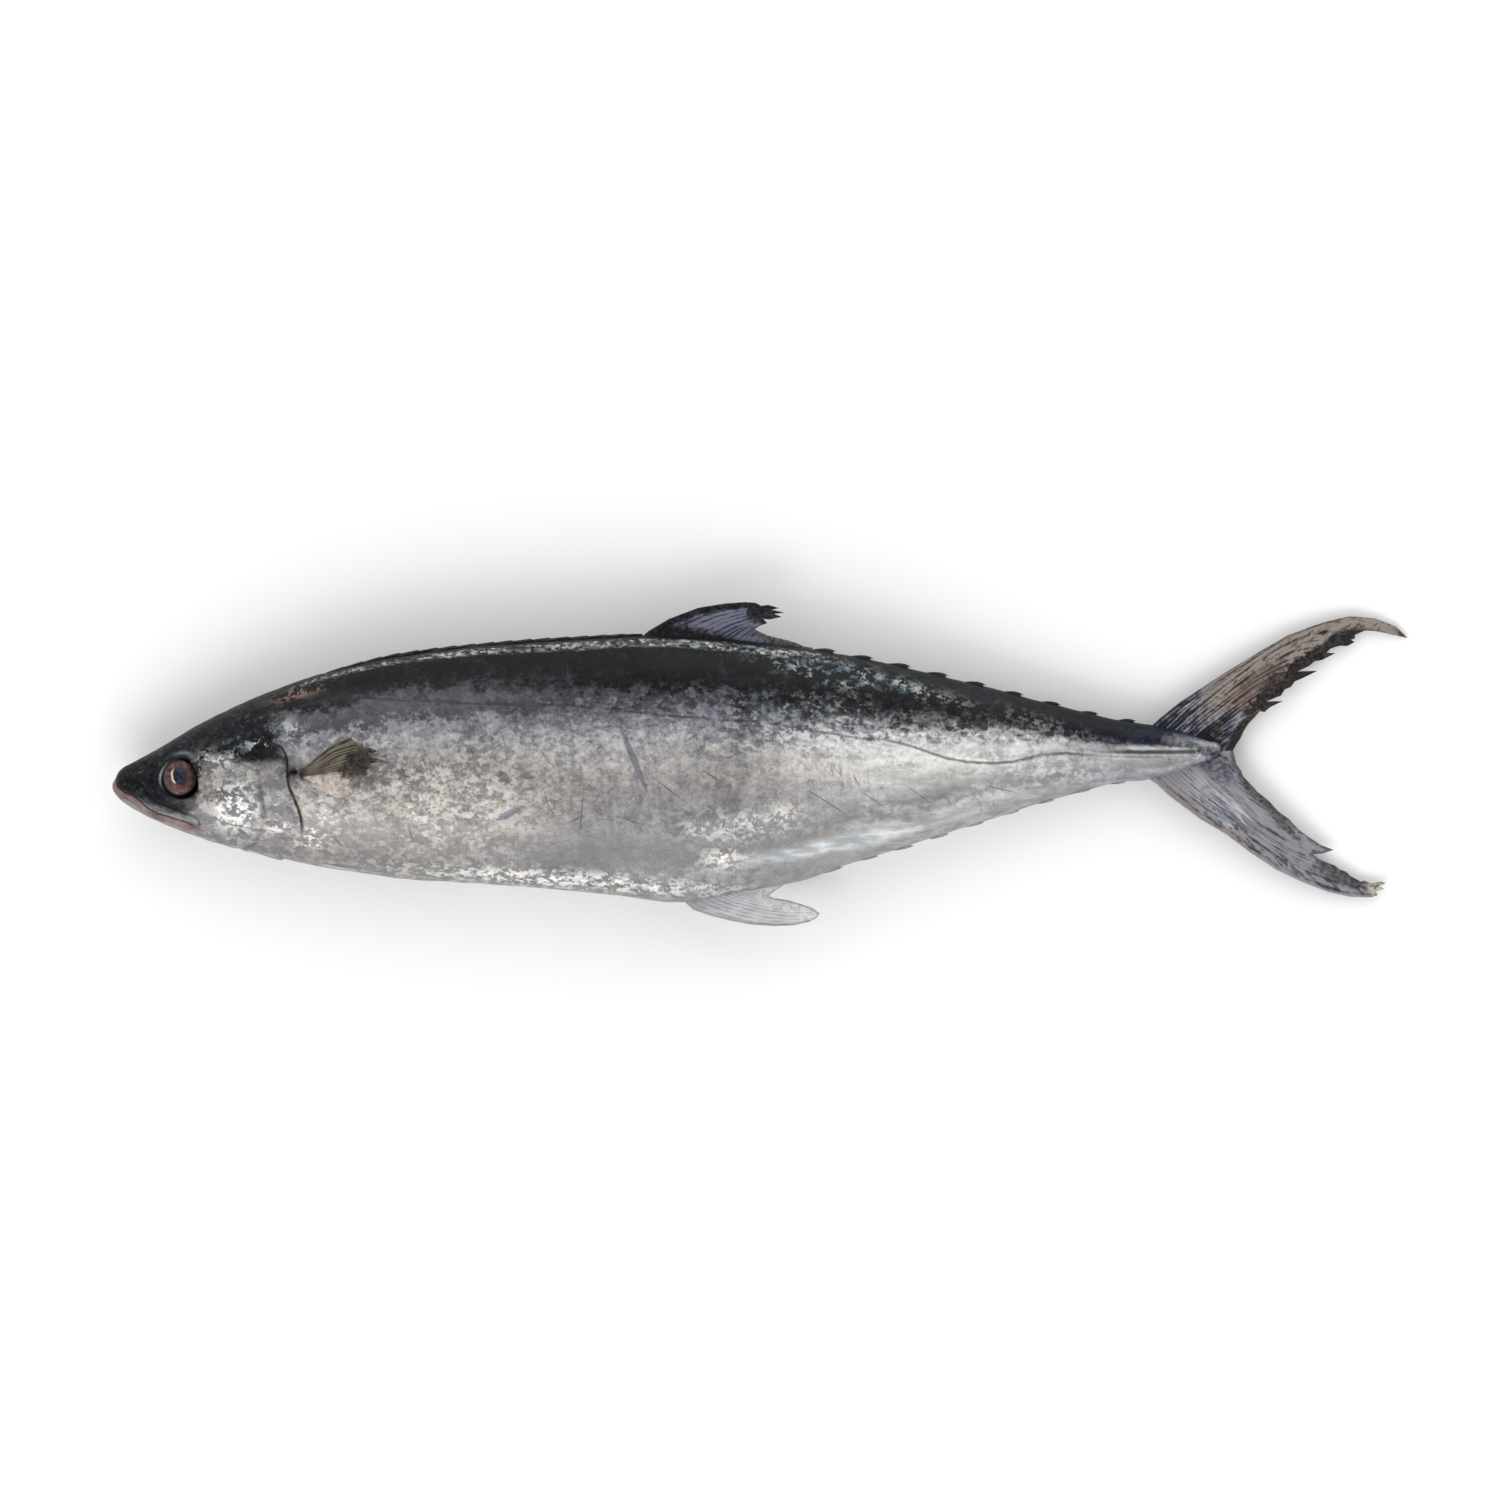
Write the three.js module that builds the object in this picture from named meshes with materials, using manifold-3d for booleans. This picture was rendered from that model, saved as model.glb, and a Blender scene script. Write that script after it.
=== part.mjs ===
// A whole raw mackerel of the seer fish kind, lying on its right side with its left side up.
// Millimetres, +Z up. The head points along -X, the back along +Y, and the surface it lies on is z = 0.
//
// The flesh and skin are one solid, lofted from cross-sections along the fish. "Station" is the
// distance from the snout tip. The back line, the belly line, the half thickness and the height of
// the middle plane are smooth curves over the station. The middle plane sags towards both ends, as
// a limp fish drapes, and the flank is pressed flat where it rests. Eyes and fins are pieces of
// their own, each 0.3 mm clear of the flesh that holds it.
import * as THREE from "three";
import { mergeVertices } from "three/addons/utils/BufferGeometryUtils.js";
import Module from "manifold-3d";

const wasm = await Module();
wasm.setup();

// ---- Driving dimensions ----
const CLEARANCE = 0.3;
const TIDY = 0.005; // edges shorter than this are dropped after a cut
const BODY_LENGTH = 655; // snout tip to the end of the flesh, between the tail fin's lobes
const STATIONS = 52;
const AROUND = 36;

// [station, height] along the middle plane, +Y towards the back
const BACK_LINE = [
  [0, -11.8], [1.8, -8.4], [3.6, -4.6], [6.6, -1.8], [13.8, 1.8], [28, 9.6], [50, 22.8], [78, 36.4],
  [107, 48], [136, 56.8], [172, 65.2], [230, 71.8], [287, 75.8], [320, 77.6], [350, 76.2],
  [388, 72.6], [424, 67.8], [460, 61.2], [496, 53], [533, 43.8], [568, 34.6], [598, 27.4],
  [618, 24.2], [640, 20], [655, 14],
];
const BELLY_LINE = [
  [0, -15], [1.2, -17.4], [3.6, -20.2], [6.6, -22.8], [13.8, -27.6], [28, -34.8], [50, -43.2],
  [78, -51.6], [107, -57.6], [136, -63], [172, -68.2], [230, -72.2], [287, -77], [316, -80.4],
  [335, -82.4], [352, -81.4], [388, -75], [417, -68.4], [445, -58.6], [475, -50], [504, -40.4],
  [540, -28.6], [575, -18], [604, -10.8], [618, -9.6], [640, -5], [655, 2],
];
// [station, half of the thickness across the fish]
const HALF_THICKNESS = [
  [0, 2.2], [1.8, 4.6], [3.6, 6.2], [6.6, 8.2], [13.8, 11.8], [28, 16.8], [50, 22.4], [78, 27.4],
  [107, 31], [150, 34.2], [200, 35.8], [260, 36.2], [320, 35.2], [380, 32.4], [440, 27.6], [500, 22],
  [550, 17], [590, 12.8], [618, 10.4], [640, 7.2], [655, 2.6],
];
// [station, height of the middle plane above the surface the fish lies on]
const MIDDLE_HEIGHT = [
  [0, 26], [50, 29.2], [107, 31.8], [150, 33], [200, 33.4], [320, 32.8], [380, 30.4], [440, 26.2],
  [500, 21.2], [560, 16.6], [618, 13.4], [655, 11.8],
];

// The gill cover's rear edge and the line where the jaws meet, as [station, height]
const GILL_EDGE = [
  [94, 14], [100, 11], [104.4, 5.5], [105.4, -2], [106, -12], [109.6, -21], [112.6, -29],
  [114, -38], [112.8, -47], [108, -54],
];
const MOUTH_LINE = [
  [1.5, -12.6], [7, -16.4], [13, -19], [22, -25.6], [27, -29.4], [35, -32], [43, -35.4], [49, -37],
];
// Above 1, the cross-section narrows towards the back and the belly; at 1 it is an ellipse
const KEENNESS = 1.12;
const SLIT = { width: 1.2, depth: 2.4 };

// The ridge along each side of the tail stem
const KEEL = { station: 622, reach: 30, rise: 2.6, sharpness: 30 };

// An eyeball is a flattened ball, sunk in the head and turned a little forward (radians)
const EYE = {
  station: 41.2, height: -8.6, radiusX: 11.4, radiusY: 12.2, radiusZ: 7, sunk: 5.4, forward: 0.33,
};

// Fin outlines are [station, height] points. A plane holds a fin at a point of the middle plane, with
// its droop towards the tail and its lean towards the surface, in radians.
const FIN_THICKNESS = 1.6;
const FIRST_DORSAL = { from: 128, to: 318, rise: 2.2, root: 3.4, thickness: 2.4 };
const SECOND_DORSAL_PLANE = { station: 360, height: 76, droop: 0.07, lean: -0.06 };
const SECOND_DORSAL = [
  [318, 72], [322, 80], [336, 85.4], [350, 91.2], [366, 95.6], [378, 97], [390, 96], [399, 93], [402, 90.6],
  [393, 86], [386, 83.4], [390, 80.2], [400, 76.6], [411, 73.4], [420, 70], [414, 64], [350, 68],
];
const ANAL_PLANE = { station: 380, height: -78, droop: 0.08, lean: 0.06 };
const ANAL = [
  [340, -76], [346, -84.6], [362, -91], [380, -95.6], [398, -97], [412, -95.6], [423, -91.4], [425, -88.6],
  [416, -84.4], [404, -81.4], [392, -79.6], [399, -76], [410, -71.6], [404, -64], [360, -70],
];
const TAIL_PLANE = { station: 640, height: 8, droop: 0.082 };
const TAIL = [
  [624, 24], [640, 37], [662, 51.6], [684, 65.4], [705, 77.6], [727, 85.6], [742, 88.6], [757, 87.8],
  [770, 83], [777.6, 76], [765, 79], [751, 80.4], [745, 74], [735, 70], [727, 65.8], [719, 58],
  [709, 50], [700, 42], [690, 34], [683, 25], [676, 15.4], [672, 10.2], [675, 0], [681, -9.6],
  [693, -21], [706, -33], [718, -43.6], [729, -50], [720, -53.4], [730, -59], [742, -67], [755, -71.6],
  [764, -71.4], [763, -76], [757, -79.6], [742, -80], [728, -77], [713, -70.8], [698, -63], [682, -52.6],
  [667, -42], [652, -32], [638, -22.4], [626, -11],
];
const PECTORAL = [
  [112.5, -4], [119, 0.8], [132, 11.4], [141, 15.6], [146, 15], [152, 10.2], [160, 7.4], [157, 3.4],
  [167, 0.4], [158, -2.4], [160, -5.6], [153, -8], [148, -17], [138, -20.2], [122, -13.8], [113, -10],
];
const PECTORAL_MIDDLE = [138, -2];
const PELVIC = { station: 121, length: 27, width: 8, angle: 0.16, thickness: 1.2 };
const DORSAL_FINLETS = { count: 9, first: 419, spacing: 23, length: 15, rise: 2.6 };
const ANAL_FINLETS = { count: 9, first: 425, spacing: 21.6, length: 14, rise: 1.6 };

// ---- Curves over the station ----

/** A smooth curve through [station, value] points, as a function of the station. */
function smooth(points) {
  const last = points.length - 1;
  const slope = (a, b) => (b[1] - a[1]) / (b[0] - a[0]);
  const tangents = points.map((p, i) => slope(points[Math.max(i - 1, 0)], points[Math.min(i + 1, last)]));
  return (station) => {
    const x = THREE.MathUtils.clamp(station, points[0][0], points[last][0]);
    const i = Math.min(last - 1, points.findLastIndex((p) => p[0] <= x));
    const [x0, y0] = points[i];
    const span = points[i + 1][0] - x0;
    const t = (x - x0) / span;
    const [t2, t3] = [t * t, t * t * t];
    return (2 * t3 - 3 * t2 + 1) * y0 + (t3 - 2 * t2 + t) * span * tangents[i]
      + (3 * t2 - 2 * t3) * points[i + 1][1] + (t3 - t2) * span * tangents[i + 1];
  };
}

const backAt = smooth(BACK_LINE);
const bellyAt = smooth(BELLY_LINE);
const halfThicknessAt = smooth(HALF_THICKNESS);
const middleHeightAt = smooth(MIDDLE_HEIGHT);

/** Height above the surface of the flank at a station and a height along the back-to-belly line. */
function flankAt(station, height, side) {
  const [back, belly] = [backAt(station), bellyAt(station)];
  const share = THREE.MathUtils.clamp((2 * height - back - belly) / (back - belly), -1, 1);
  return middleHeightAt(station) + side * halfThicknessAt(station) * (1 - share * share) ** (KEENNESS / 2);
}

// ---- Solids and meshes ----

function solidOf(geometry) {
  const bare = geometry.clone();
  bare.deleteAttribute("normal");
  bare.deleteAttribute("uv");
  const merged = mergeVertices(bare, 1e-4);
  const vertProperties = new Float32Array(merged.attributes.position.array);
  const triVerts = new Uint32Array(merged.index.array);
  return new wasm.Manifold(new wasm.Mesh({ numProp: 3, vertProperties, triVerts }));
}

function geometryOf(solid) {
  const { vertProperties, triVerts } = solid.simplify(TIDY).getMesh();
  return new THREE.BufferGeometry()
    .setAttribute("position", new THREE.BufferAttribute(vertProperties, 3))
    .setIndex(new THREE.BufferAttribute(triVerts, 1));
}

/** The body's surface, grown outwards by some millimetres, or shrunk where grow is negative. */
function bodyGeometry(grow = 0) {
  const positions = [];
  const index = [];
  const floor = -grow;
  const stations = [];
  for (let k = 0; k < STATIONS; k++) {
    stations.push(BODY_LENGTH * (k / (STATIONS - 1)) ** 1.35); // closer together at the head
  }
  stations.forEach((station) => {
    const middle = (backAt(station) + bellyAt(station)) / 2;
    const half = Math.max((backAt(station) - bellyAt(station)) / 2 + grow, 0.2);
    const thick = Math.max(halfThicknessAt(station) + grow, 0.2);
    const keel = KEEL.rise * Math.max(0, 1 - Math.abs(station - KEEL.station) / KEEL.reach);
    const x = THREE.MathUtils.mapLinear(station, 0, BODY_LENGTH, -grow, BODY_LENGTH + grow);
    for (let j = 0; j < AROUND; j++) {
      const angle = (2 * Math.PI * j) / AROUND;
      const outwards = Math.abs(Math.sin(angle));
      const bulge = thick * outwards ** KEENNESS + keel * outwards ** KEEL.sharpness;
      const z = middleHeightAt(station) + Math.sign(Math.sin(angle)) * bulge;
      positions.push(x, middle + half * Math.cos(angle), Math.max(z, floor));
    }
  });
  for (let k = 0; k < STATIONS - 1; k++) {
    for (let j = 0; j < AROUND; j++) {
      const next = (j + 1) % AROUND;
      const [a, b] = [k * AROUND + j, k * AROUND + next];
      const [c, d] = [a + AROUND, b + AROUND];
      index.push(a, b, c, b, d, c);
    }
  }
  const capEnd = (k, order) => {
    const centre = positions.length / 3;
    const ring = k * AROUND;
    const station = stations[k];
    positions.push(positions[ring * 3], (backAt(station) + bellyAt(station)) / 2, middleHeightAt(station));
    for (let j = 0; j < AROUND; j++) {
      const pair = [ring + j, ring + ((j + 1) % AROUND)];
      index.push(centre, ...(order > 0 ? pair : pair.reverse()));
    }
  };
  capEnd(0, -1);
  capEnd(STATIONS - 1, 1);
  return new THREE.BufferGeometry()
    .setAttribute("position", new THREE.Float32BufferAttribute(positions, 3))
    .setIndex(index);
}

/** A flat plate with this outline in X and Y, centred on z = 0. */
function plate(outline, thickness = FIN_THICKNESS) {
  const shape = new THREE.Shape(outline.map(([x, y]) => new THREE.Vector2(x, y)));
  return new THREE.ExtrudeGeometry(shape, { depth: thickness, bevelEnabled: false })
    .translate(0, 0, -thickness / 2);
}

const skin = new THREE.MeshStandardMaterial({ color: 0x8f9092, roughness: 0.35, metalness: 0.4 });
const eyeball = new THREE.MeshStandardMaterial({ color: 0x6b4a45, roughness: 0.1, metalness: 0 });
const darkFin = new THREE.MeshStandardMaterial({ color: 0x2c2e33, roughness: 0.5, metalness: 0 });
const tailFin = new THREE.MeshStandardMaterial({ color: 0x6f6661, roughness: 0.5, metalness: 0 });
const paleFin = new THREE.MeshStandardMaterial({ color: 0xb4b4b8, roughness: 0.5, metalness: 0 });
const pectoralFin = new THREE.MeshStandardMaterial({ color: 0x857a6c, roughness: 0.5, metalness: 0 });

function named(name, geometry, material) {
  const mesh = new THREE.Mesh(geometry, material);
  mesh.name = name;
  return mesh;
}

const grownBody = bodyGeometry(CLEARANCE);

/** Cuts a placed fin back so that it stays clear of the flesh. */
function clearOfBody(mesh) {
  mesh.updateMatrix();
  const flesh = grownBody.clone().applyMatrix4(mesh.matrix.clone().invert());
  mesh.geometry = geometryOf(solidOf(mesh.geometry).subtract(solidOf(flesh)));
  return mesh;
}

/** A fin plate that stands in the sagging middle plane, held and turned as its plane says. */
function uprightFin(name, outline, material, { station, height, droop, lean = 0 }) {
  const shifted = outline.map(([x, y]) => [x - station, y - height]);
  const mesh = named(name, plate(shifted), material);
  mesh.position.set(station, height, middleHeightAt(station));
  mesh.rotation.set(lean, droop, 0);
  return clearOfBody(mesh);
}

// ---- Eyes ----

function eyeAt(name, side, grow = 0) {
  const mesh = named(name, new THREE.SphereGeometry(1, 20, 12), eyeball);
  mesh.geometry.rotateX(Math.PI / 2); // the poles face out of the head
  mesh.geometry.scale(EYE.radiusX + grow, EYE.radiusY + grow, EYE.radiusZ + grow);
  mesh.position.set(EYE.station, EYE.height, flankAt(EYE.station, EYE.height, side) - side * EYE.sunk);
  mesh.rotation.y = -side * EYE.forward;
  return mesh;
}

// ---- Slits in the skin ----

/** A curved wall through the whole fish, as wide as a slit, along a line of [station, height]. */
function wallAlong(line) {
  const curve = new THREE.SplineCurve(line.map(([x, y]) => new THREE.Vector2(x, y)));
  const steps = 14;
  const [one, other] = [[], []];
  for (let i = 0; i <= steps; i++) {
    const point = curve.getPoint(i / steps);
    const tangent = curve.getTangent(i / steps);
    const off = new THREE.Vector2(-tangent.y, tangent.x).multiplyScalar(SLIT.width / 2);
    one.push(point.clone().add(off));
    other.unshift(point.clone().sub(off));
  }
  const depth = 100;
  return new THREE.ExtrudeGeometry(new THREE.Shape([...one, ...other]), { depth, bevelEnabled: false });
}

// ---- Paired fins ----

/** The left pectoral fin lies along the upper flank, opening a little off the skin. */
function leftPectoral() {
  const [root, far] = [[114, -7], [160, -7]];
  const rise = flankAt(...far, 1) - flankAt(...root, 1);
  const shifted = PECTORAL.map(([x, y]) => [x - root[0], y - root[1]]);
  const mesh = named("pectoral_fin_left", plate(shifted), pectoralFin);
  mesh.position.set(root[0], root[1], flankAt(...root, 1) + 1.4);
  mesh.rotation.y = -Math.atan2(rise + 1.5, far[0] - root[0]);
  return clearOfBody(mesh);
}

/** The right pectoral fin is trapped flat between the fish and the surface. */
function rightPectoral(grow = 0) {
  const thickness = 1.2;
  const [cx, cy] = PECTORAL_MIDDLE;
  const spread = 1 + grow / 12;
  const outline = PECTORAL.map(([x, y]) => [cx + (x - cx) * spread, cy + (y - cy) * spread]);
  const mesh = named("pectoral_fin_right", plate(outline, thickness + 2 * grow), pectoralFin);
  mesh.position.z = thickness / 2;
  return mesh;
}

/** A pelvic fin, folded back along the belly beside the middle line. */
function pelvic(name, side) {
  const { station, length, width, angle, thickness } = PELVIC;
  const outline = [
    [0, 0], [length * 0.55, 0], [length, width * 0.4], [length * 0.86, width * 0.8],
    [length * 0.4, width], [0, width * 0.5],
  ];
  const mesh = named(name, plate(outline.map(([x, y]) => [x, side * y]), thickness), paleFin);
  const end = station + length;
  const sink = bellyAt(station) - bellyAt(end);
  mesh.position.set(station, bellyAt(station) - 0.8, middleHeightAt(station) + side * 0.8);
  // The plate is turned from lying flat to facing down the belly, then follows the belly line.
  mesh.rotation.order = "ZXY";
  mesh.rotation.set(Math.PI / 2 - side * angle, 0, -Math.atan2(sink, length));
  return clearOfBody(mesh);
}

// ---- Fins on the middle line ----

/** The spiny first dorsal fin, folded down into its groove along the back. */
function firstDorsal(grow = 0) {
  const { from, to, rise, root, thickness } = FIRST_DORSAL;
  const steps = 16;
  const [top, bottom] = [[], []];
  for (let i = 0; i <= steps; i++) {
    const share = i / steps;
    const station = THREE.MathUtils.lerp(from - grow, to + grow, share);
    const swell = Math.min(1, 0.3 + 6 * share, 0.3 + 3 * (1 - share));
    top.push([station, backAt(station) + rise * swell + grow]);
    bottom.unshift([station, backAt(station) - root * swell - grow]);
  }
  const mesh = named("first_dorsal_fin", plate([...top, ...bottom], thickness + 2 * grow), darkFin);
  mesh.position.z = middleHeightAt((from + to) / 2);
  return mesh;
}

/** A row of small folded fins along one edge of the tail stem. */
function finlets(prefix, edgeAt, side, row, material) {
  const made = [];
  for (let i = 0; i < row.count; i++) {
    const station = row.first + row.spacing * i;
    const shrink = 1 - (0.3 * i) / row.count;
    const [length, rise] = [row.length * shrink, row.rise * shrink];
    const outline = [
      [0, -2], [0, 0.2], [length * 0.35, rise], [length * 0.8, rise * 1.1], [length, rise * 0.7],
      [length * 0.85, -2],
    ].map(([x, y]) => [x, side * y]);
    const mesh = named(`${prefix}_${i + 1}`, plate(outline, 1.8), material);
    const ahead = station + length;
    mesh.position.set(station, edgeAt(station), middleHeightAt(station));
    mesh.rotation.set(0, 0.1, Math.atan2(edgeAt(ahead) - edgeAt(station), length));
    made.push(clearOfBody(mesh));
  }
  return made;
}

// ---- The body, with its sockets, groove, pocket and slits ----

function body() {
  let flesh = solidOf(bodyGeometry());
  const placed = (mesh) => {
    mesh.updateMatrix();
    return solidOf(mesh.geometry.clone().applyMatrix4(mesh.matrix));
  };
  const rind = solidOf(bodyGeometry(SLIT.depth)).subtract(solidOf(bodyGeometry(-SLIT.depth)));
  for (const line of [GILL_EDGE, MOUTH_LINE]) {
    flesh = flesh.subtract(rind.intersect(solidOf(wallAlong(line))));
  }
  flesh = flesh.subtract(placed(eyeAt("left", 1, CLEARANCE)));
  flesh = flesh.subtract(placed(eyeAt("right", -1, CLEARANCE)));
  flesh = flesh.subtract(placed(firstDorsal(CLEARANCE)));
  flesh = flesh.subtract(placed(rightPectoral(CLEARANCE)));
  return named("body", geometryOf(flesh), skin);
}

// ---- The fish ----

const fish = new THREE.Group();
fish.add(
  body(),
  eyeAt("eye_left", 1),
  eyeAt("eye_right", -1),
  firstDorsal(),
  uprightFin("second_dorsal_fin", SECOND_DORSAL, darkFin, SECOND_DORSAL_PLANE),
  uprightFin("anal_fin", ANAL, paleFin, ANAL_PLANE),
  uprightFin("tail_fin", TAIL, tailFin, TAIL_PLANE), // its root is notched round the end of the flesh
  leftPectoral(),
  rightPectoral(),
  pelvic("pelvic_fin_left", 1),
  pelvic("pelvic_fin_right", -1),
  ...finlets("dorsal_finlet", backAt, 1, DORSAL_FINLETS, darkFin),
  ...finlets("anal_finlet", bellyAt, -1, ANAL_FINLETS, paleFin),
);

// The part's origin is the middle of the fish's bounding box, on the surface it lies on.
fish.updateMatrixWorld(true);
const bounds = new THREE.Box3().setFromObject(fish, true);
const middle = bounds.getCenter(new THREE.Vector3());
fish.position.set(-middle.x, -middle.y, -bounds.min.z);

const part = new THREE.Group();
part.add(fish);

export default part;
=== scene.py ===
# %% [markdown]
# # A whole raw seer fish, laid on its side
#
# This lesson dresses a plain solid model of a fish. The packed model gives the true sizes and places. Every
# piece made here stands for one of its nodes, in the same frame: metres, head towards -X, back towards +Y,
# and the surface the fish lies on at z = 0.
#
# Stations and heights are written in millimetres, as a fishmonger would lay a ruler along the fish: station 0
# is the snout tip, and height 0 is the level of the mouth line's far end, positive towards the back.

# %% Load the packed model
import math

import bpy
import numpy as np
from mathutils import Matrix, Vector, noise


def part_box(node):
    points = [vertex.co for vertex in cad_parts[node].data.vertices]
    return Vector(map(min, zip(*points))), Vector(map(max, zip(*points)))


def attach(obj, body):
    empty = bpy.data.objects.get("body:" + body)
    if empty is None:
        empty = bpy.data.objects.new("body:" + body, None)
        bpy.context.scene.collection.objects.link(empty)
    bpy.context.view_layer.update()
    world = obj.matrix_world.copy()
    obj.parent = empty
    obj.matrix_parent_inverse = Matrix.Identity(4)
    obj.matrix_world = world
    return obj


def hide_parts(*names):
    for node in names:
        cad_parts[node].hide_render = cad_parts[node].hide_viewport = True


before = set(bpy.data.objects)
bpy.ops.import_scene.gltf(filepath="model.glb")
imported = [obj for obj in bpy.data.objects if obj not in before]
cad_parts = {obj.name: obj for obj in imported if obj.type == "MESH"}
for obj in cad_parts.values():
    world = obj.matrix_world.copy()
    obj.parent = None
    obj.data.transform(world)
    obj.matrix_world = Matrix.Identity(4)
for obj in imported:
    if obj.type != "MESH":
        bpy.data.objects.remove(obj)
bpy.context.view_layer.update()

body_low, body_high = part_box("body")
MM = 0.001
print("body, mm:", [round(v / MM, 1) for v in (body_high - body_low)])


def put(name, data):
    """A new object in the scene."""
    thing = bpy.data.objects.new(name, data)
    bpy.context.scene.collection.objects.link(thing)
    return thing


# %% [markdown]
# ## The camera
#
# A fish this long looks natural when it is seen from far enough away that its head and tail aren't stretched.
# A long lens straight above does that. The camera comes first so that every later look is through it.

# %% Camera straight above the fish
FRAME_WIDTH = 0.9  # how much of the surface the view spans
OUTLINE_LEVEL = 0.014  # the level at which the view spans just that
VIEW_MIDDLE = (-0.0066, 0.0084)  # the tail fans out, so the middle of the view isn't the fish's own
lens = bpy.data.cameras.new("overhead")
lens.lens = 400
lens.sensor_width = 36
camera = put("overhead", lens)
distance = FRAME_WIDTH * lens.lens / lens.sensor_width
camera.location = (*VIEW_MIDDLE, OUTLINE_LEVEL + distance)
bpy.context.scene.camera = camera
print("camera is", round(distance, 2), "m above the fish")

# %% [markdown]
# ## The body's curves
#
# A fish's body is a loft: the back line, the belly line, the half thickness and the height of its middle
# plane are smooth curves over the station. It could be sculpted, but then every fin would have to be fitted
# by eye. With curves, anything on the fish is found by its station and height.

# %% Smooth curves over the station
def smooth(points):
    """A smooth curve through (station, value) points."""
    x = np.array([p[0] for p in points], float)
    y = np.array([p[1] for p in points], float)
    index = np.arange(len(x))
    before, after = np.maximum(index - 1, 0), np.minimum(index + 1, len(x) - 1)
    slope = (y[after] - y[before]) / (x[after] - x[before])

    def curve(station):
        s = np.clip(station, x[0], x[-1])
        i = np.clip(np.searchsorted(x, s, "right") - 1, 0, len(x) - 2)
        span = x[i + 1] - x[i]
        t = (s - x[i]) / span
        return ((2 * t**3 - 3 * t**2 + 1) * y[i] + (t**3 - 2 * t**2 + t) * span * slope[i]
                + (3 * t**2 - 2 * t**3) * y[i + 1] + (t**3 - t**2) * span * slope[i + 1])

    return curve


back_line = smooth([
    (0, -11.8), (1.8, -8.4), (3.6, -4.6), (6.6, -1.8), (13.8, 1.8), (28, 9.6), (50, 22.8), (78, 36.4),
    (107, 48), (136, 56.8), (172, 65.2), (230, 71.8), (287, 75.8), (320, 77.6), (350, 76.2),
    (388, 72.6), (424, 67.8), (460, 61.2), (496, 53), (533, 43.8), (568, 34.6), (598, 27.4),
    (618, 24.2), (640, 20), (655, 14), (664, 10.6)])
belly_line = smooth([
    (0, -15), (1.2, -17.4), (3.6, -20.2), (6.6, -22.8), (13.8, -27.6), (28, -34.8), (50, -43.2),
    (78, -51.6), (107, -57.6), (136, -63), (172, -68.2), (230, -72.2), (287, -77), (316, -80.4),
    (335, -82.4), (352, -81.4), (388, -75), (417, -68.4), (445, -58.6), (475, -50), (504, -40.4),
    (540, -28.6), (575, -18), (604, -10.8), (618, -9.6), (640, -5), (655, 2), (664, 6.4)])
half_thickness = smooth([
    (0, 2.2), (1.8, 4.6), (3.6, 6.2), (6.6, 8.2), (13.8, 11.8), (28, 16.8), (50, 22.4), (78, 27.4),
    (107, 31), (150, 34.2), (200, 35.8), (260, 36.2), (320, 35.2), (380, 32.4), (440, 27.6), (500, 22),
    (550, 17), (590, 12.8), (618, 10.4), (640, 7.2), (655, 3.4), (664, 1.4)])
middle_height = smooth([
    (0, 26), (50, 29.2), (107, 31.8), (150, 33), (200, 33.4), (320, 32.8), (380, 30.4), (440, 26.2),
    (500, 21.2), (560, 16.6), (618, 13.4), (655, 11.8), (700, 8.6), (780, 1.6)])
KEENNESS = 1.12  # above 1, the cross-section narrows towards the back and the belly
KEEL = {"station": 622, "reach": 30, "rise": 2.6}
BODY_LENGTH = 664

# %% Where a station and a height are in the frame
STATION_0 = body_low.x
HEIGHT_0 = body_low.y + 82.4 * MM  # the belly's lowest point is 82.4 below height 0


def place(station, height, z):
    """Points in the frame, in metres, from stations, heights and heights above the surface in mm."""
    parts = np.broadcast_arrays(STATION_0 + np.asarray(station) * MM, HEIGHT_0 + np.asarray(height) * MM,
                                np.asarray(z) * MM)
    return np.stack(parts, axis=-1)


def flank_z(station, height):
    """Height of the upper skin above the surface, in mm."""
    back, belly = back_line(station), belly_line(station)
    share = np.clip((2 * height - back - belly) / (back - belly), -1, 1)
    return middle_height(station) + half_thickness(station) * (1 - share**2) ** (KEENNESS / 2)


print("thickest at station 260:", round(float(2 * half_thickness(260)), 1), "mm")

# %% [markdown]
# ## Landmarks
#
# The gill cover's edge, the mouth, the rim of the eye and the lateral line are drawn once as lines on the
# flank. The shape and the colours both read the distance to these lines, so a groove and its dark paint
# always fall in the same place.

# %% Lines on the flank, as (station, height)
GILL_EDGE = [(94, 14), (100, 11), (104.4, 5.5), (105.4, -2), (106, -12), (109.6, -21), (112.6, -29),
             (114, -38), (112.8, -47), (108, -54)]
MOUTH = [(2.4, -9.4), (3.2, -13.8), (7.4, -17), (13.3, -19.3), (20.2, -25.8), (26.6, -29.9),
         (34.9, -32.2), (44.1, -34.9), (52.4, -38.6)]
JAW_PLATE = [(15.2, -7.4), (18, -12.5), (22.1, -17.5), (27.6, -22.6), (36.3, -26.2), (42.2, -29),
             (49, -31.4), (52.4, -34.6), (52.4, -38.6)]
CHEEK_CREASE = [(76, 1), (88, -4), (90.5, -18), (91.5, -34), (86, -48), (74, -52)]
LATERAL_LINE = [(112, 34), (136, 40.2), (220, 36), (268, 35.4), (292, 33.6), (340, 28.2), (388, 25.2),
                (448, 15.3), (463, 14.4), (476, 11.4), (487, 7.8), (499, 3.6), (512, 1.2), (528, 0.6),
                (540, 1.5), (556, 5.4), (571, 6.4), (586, 5.4), (609, 4.8), (628, 4.6)]
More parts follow.
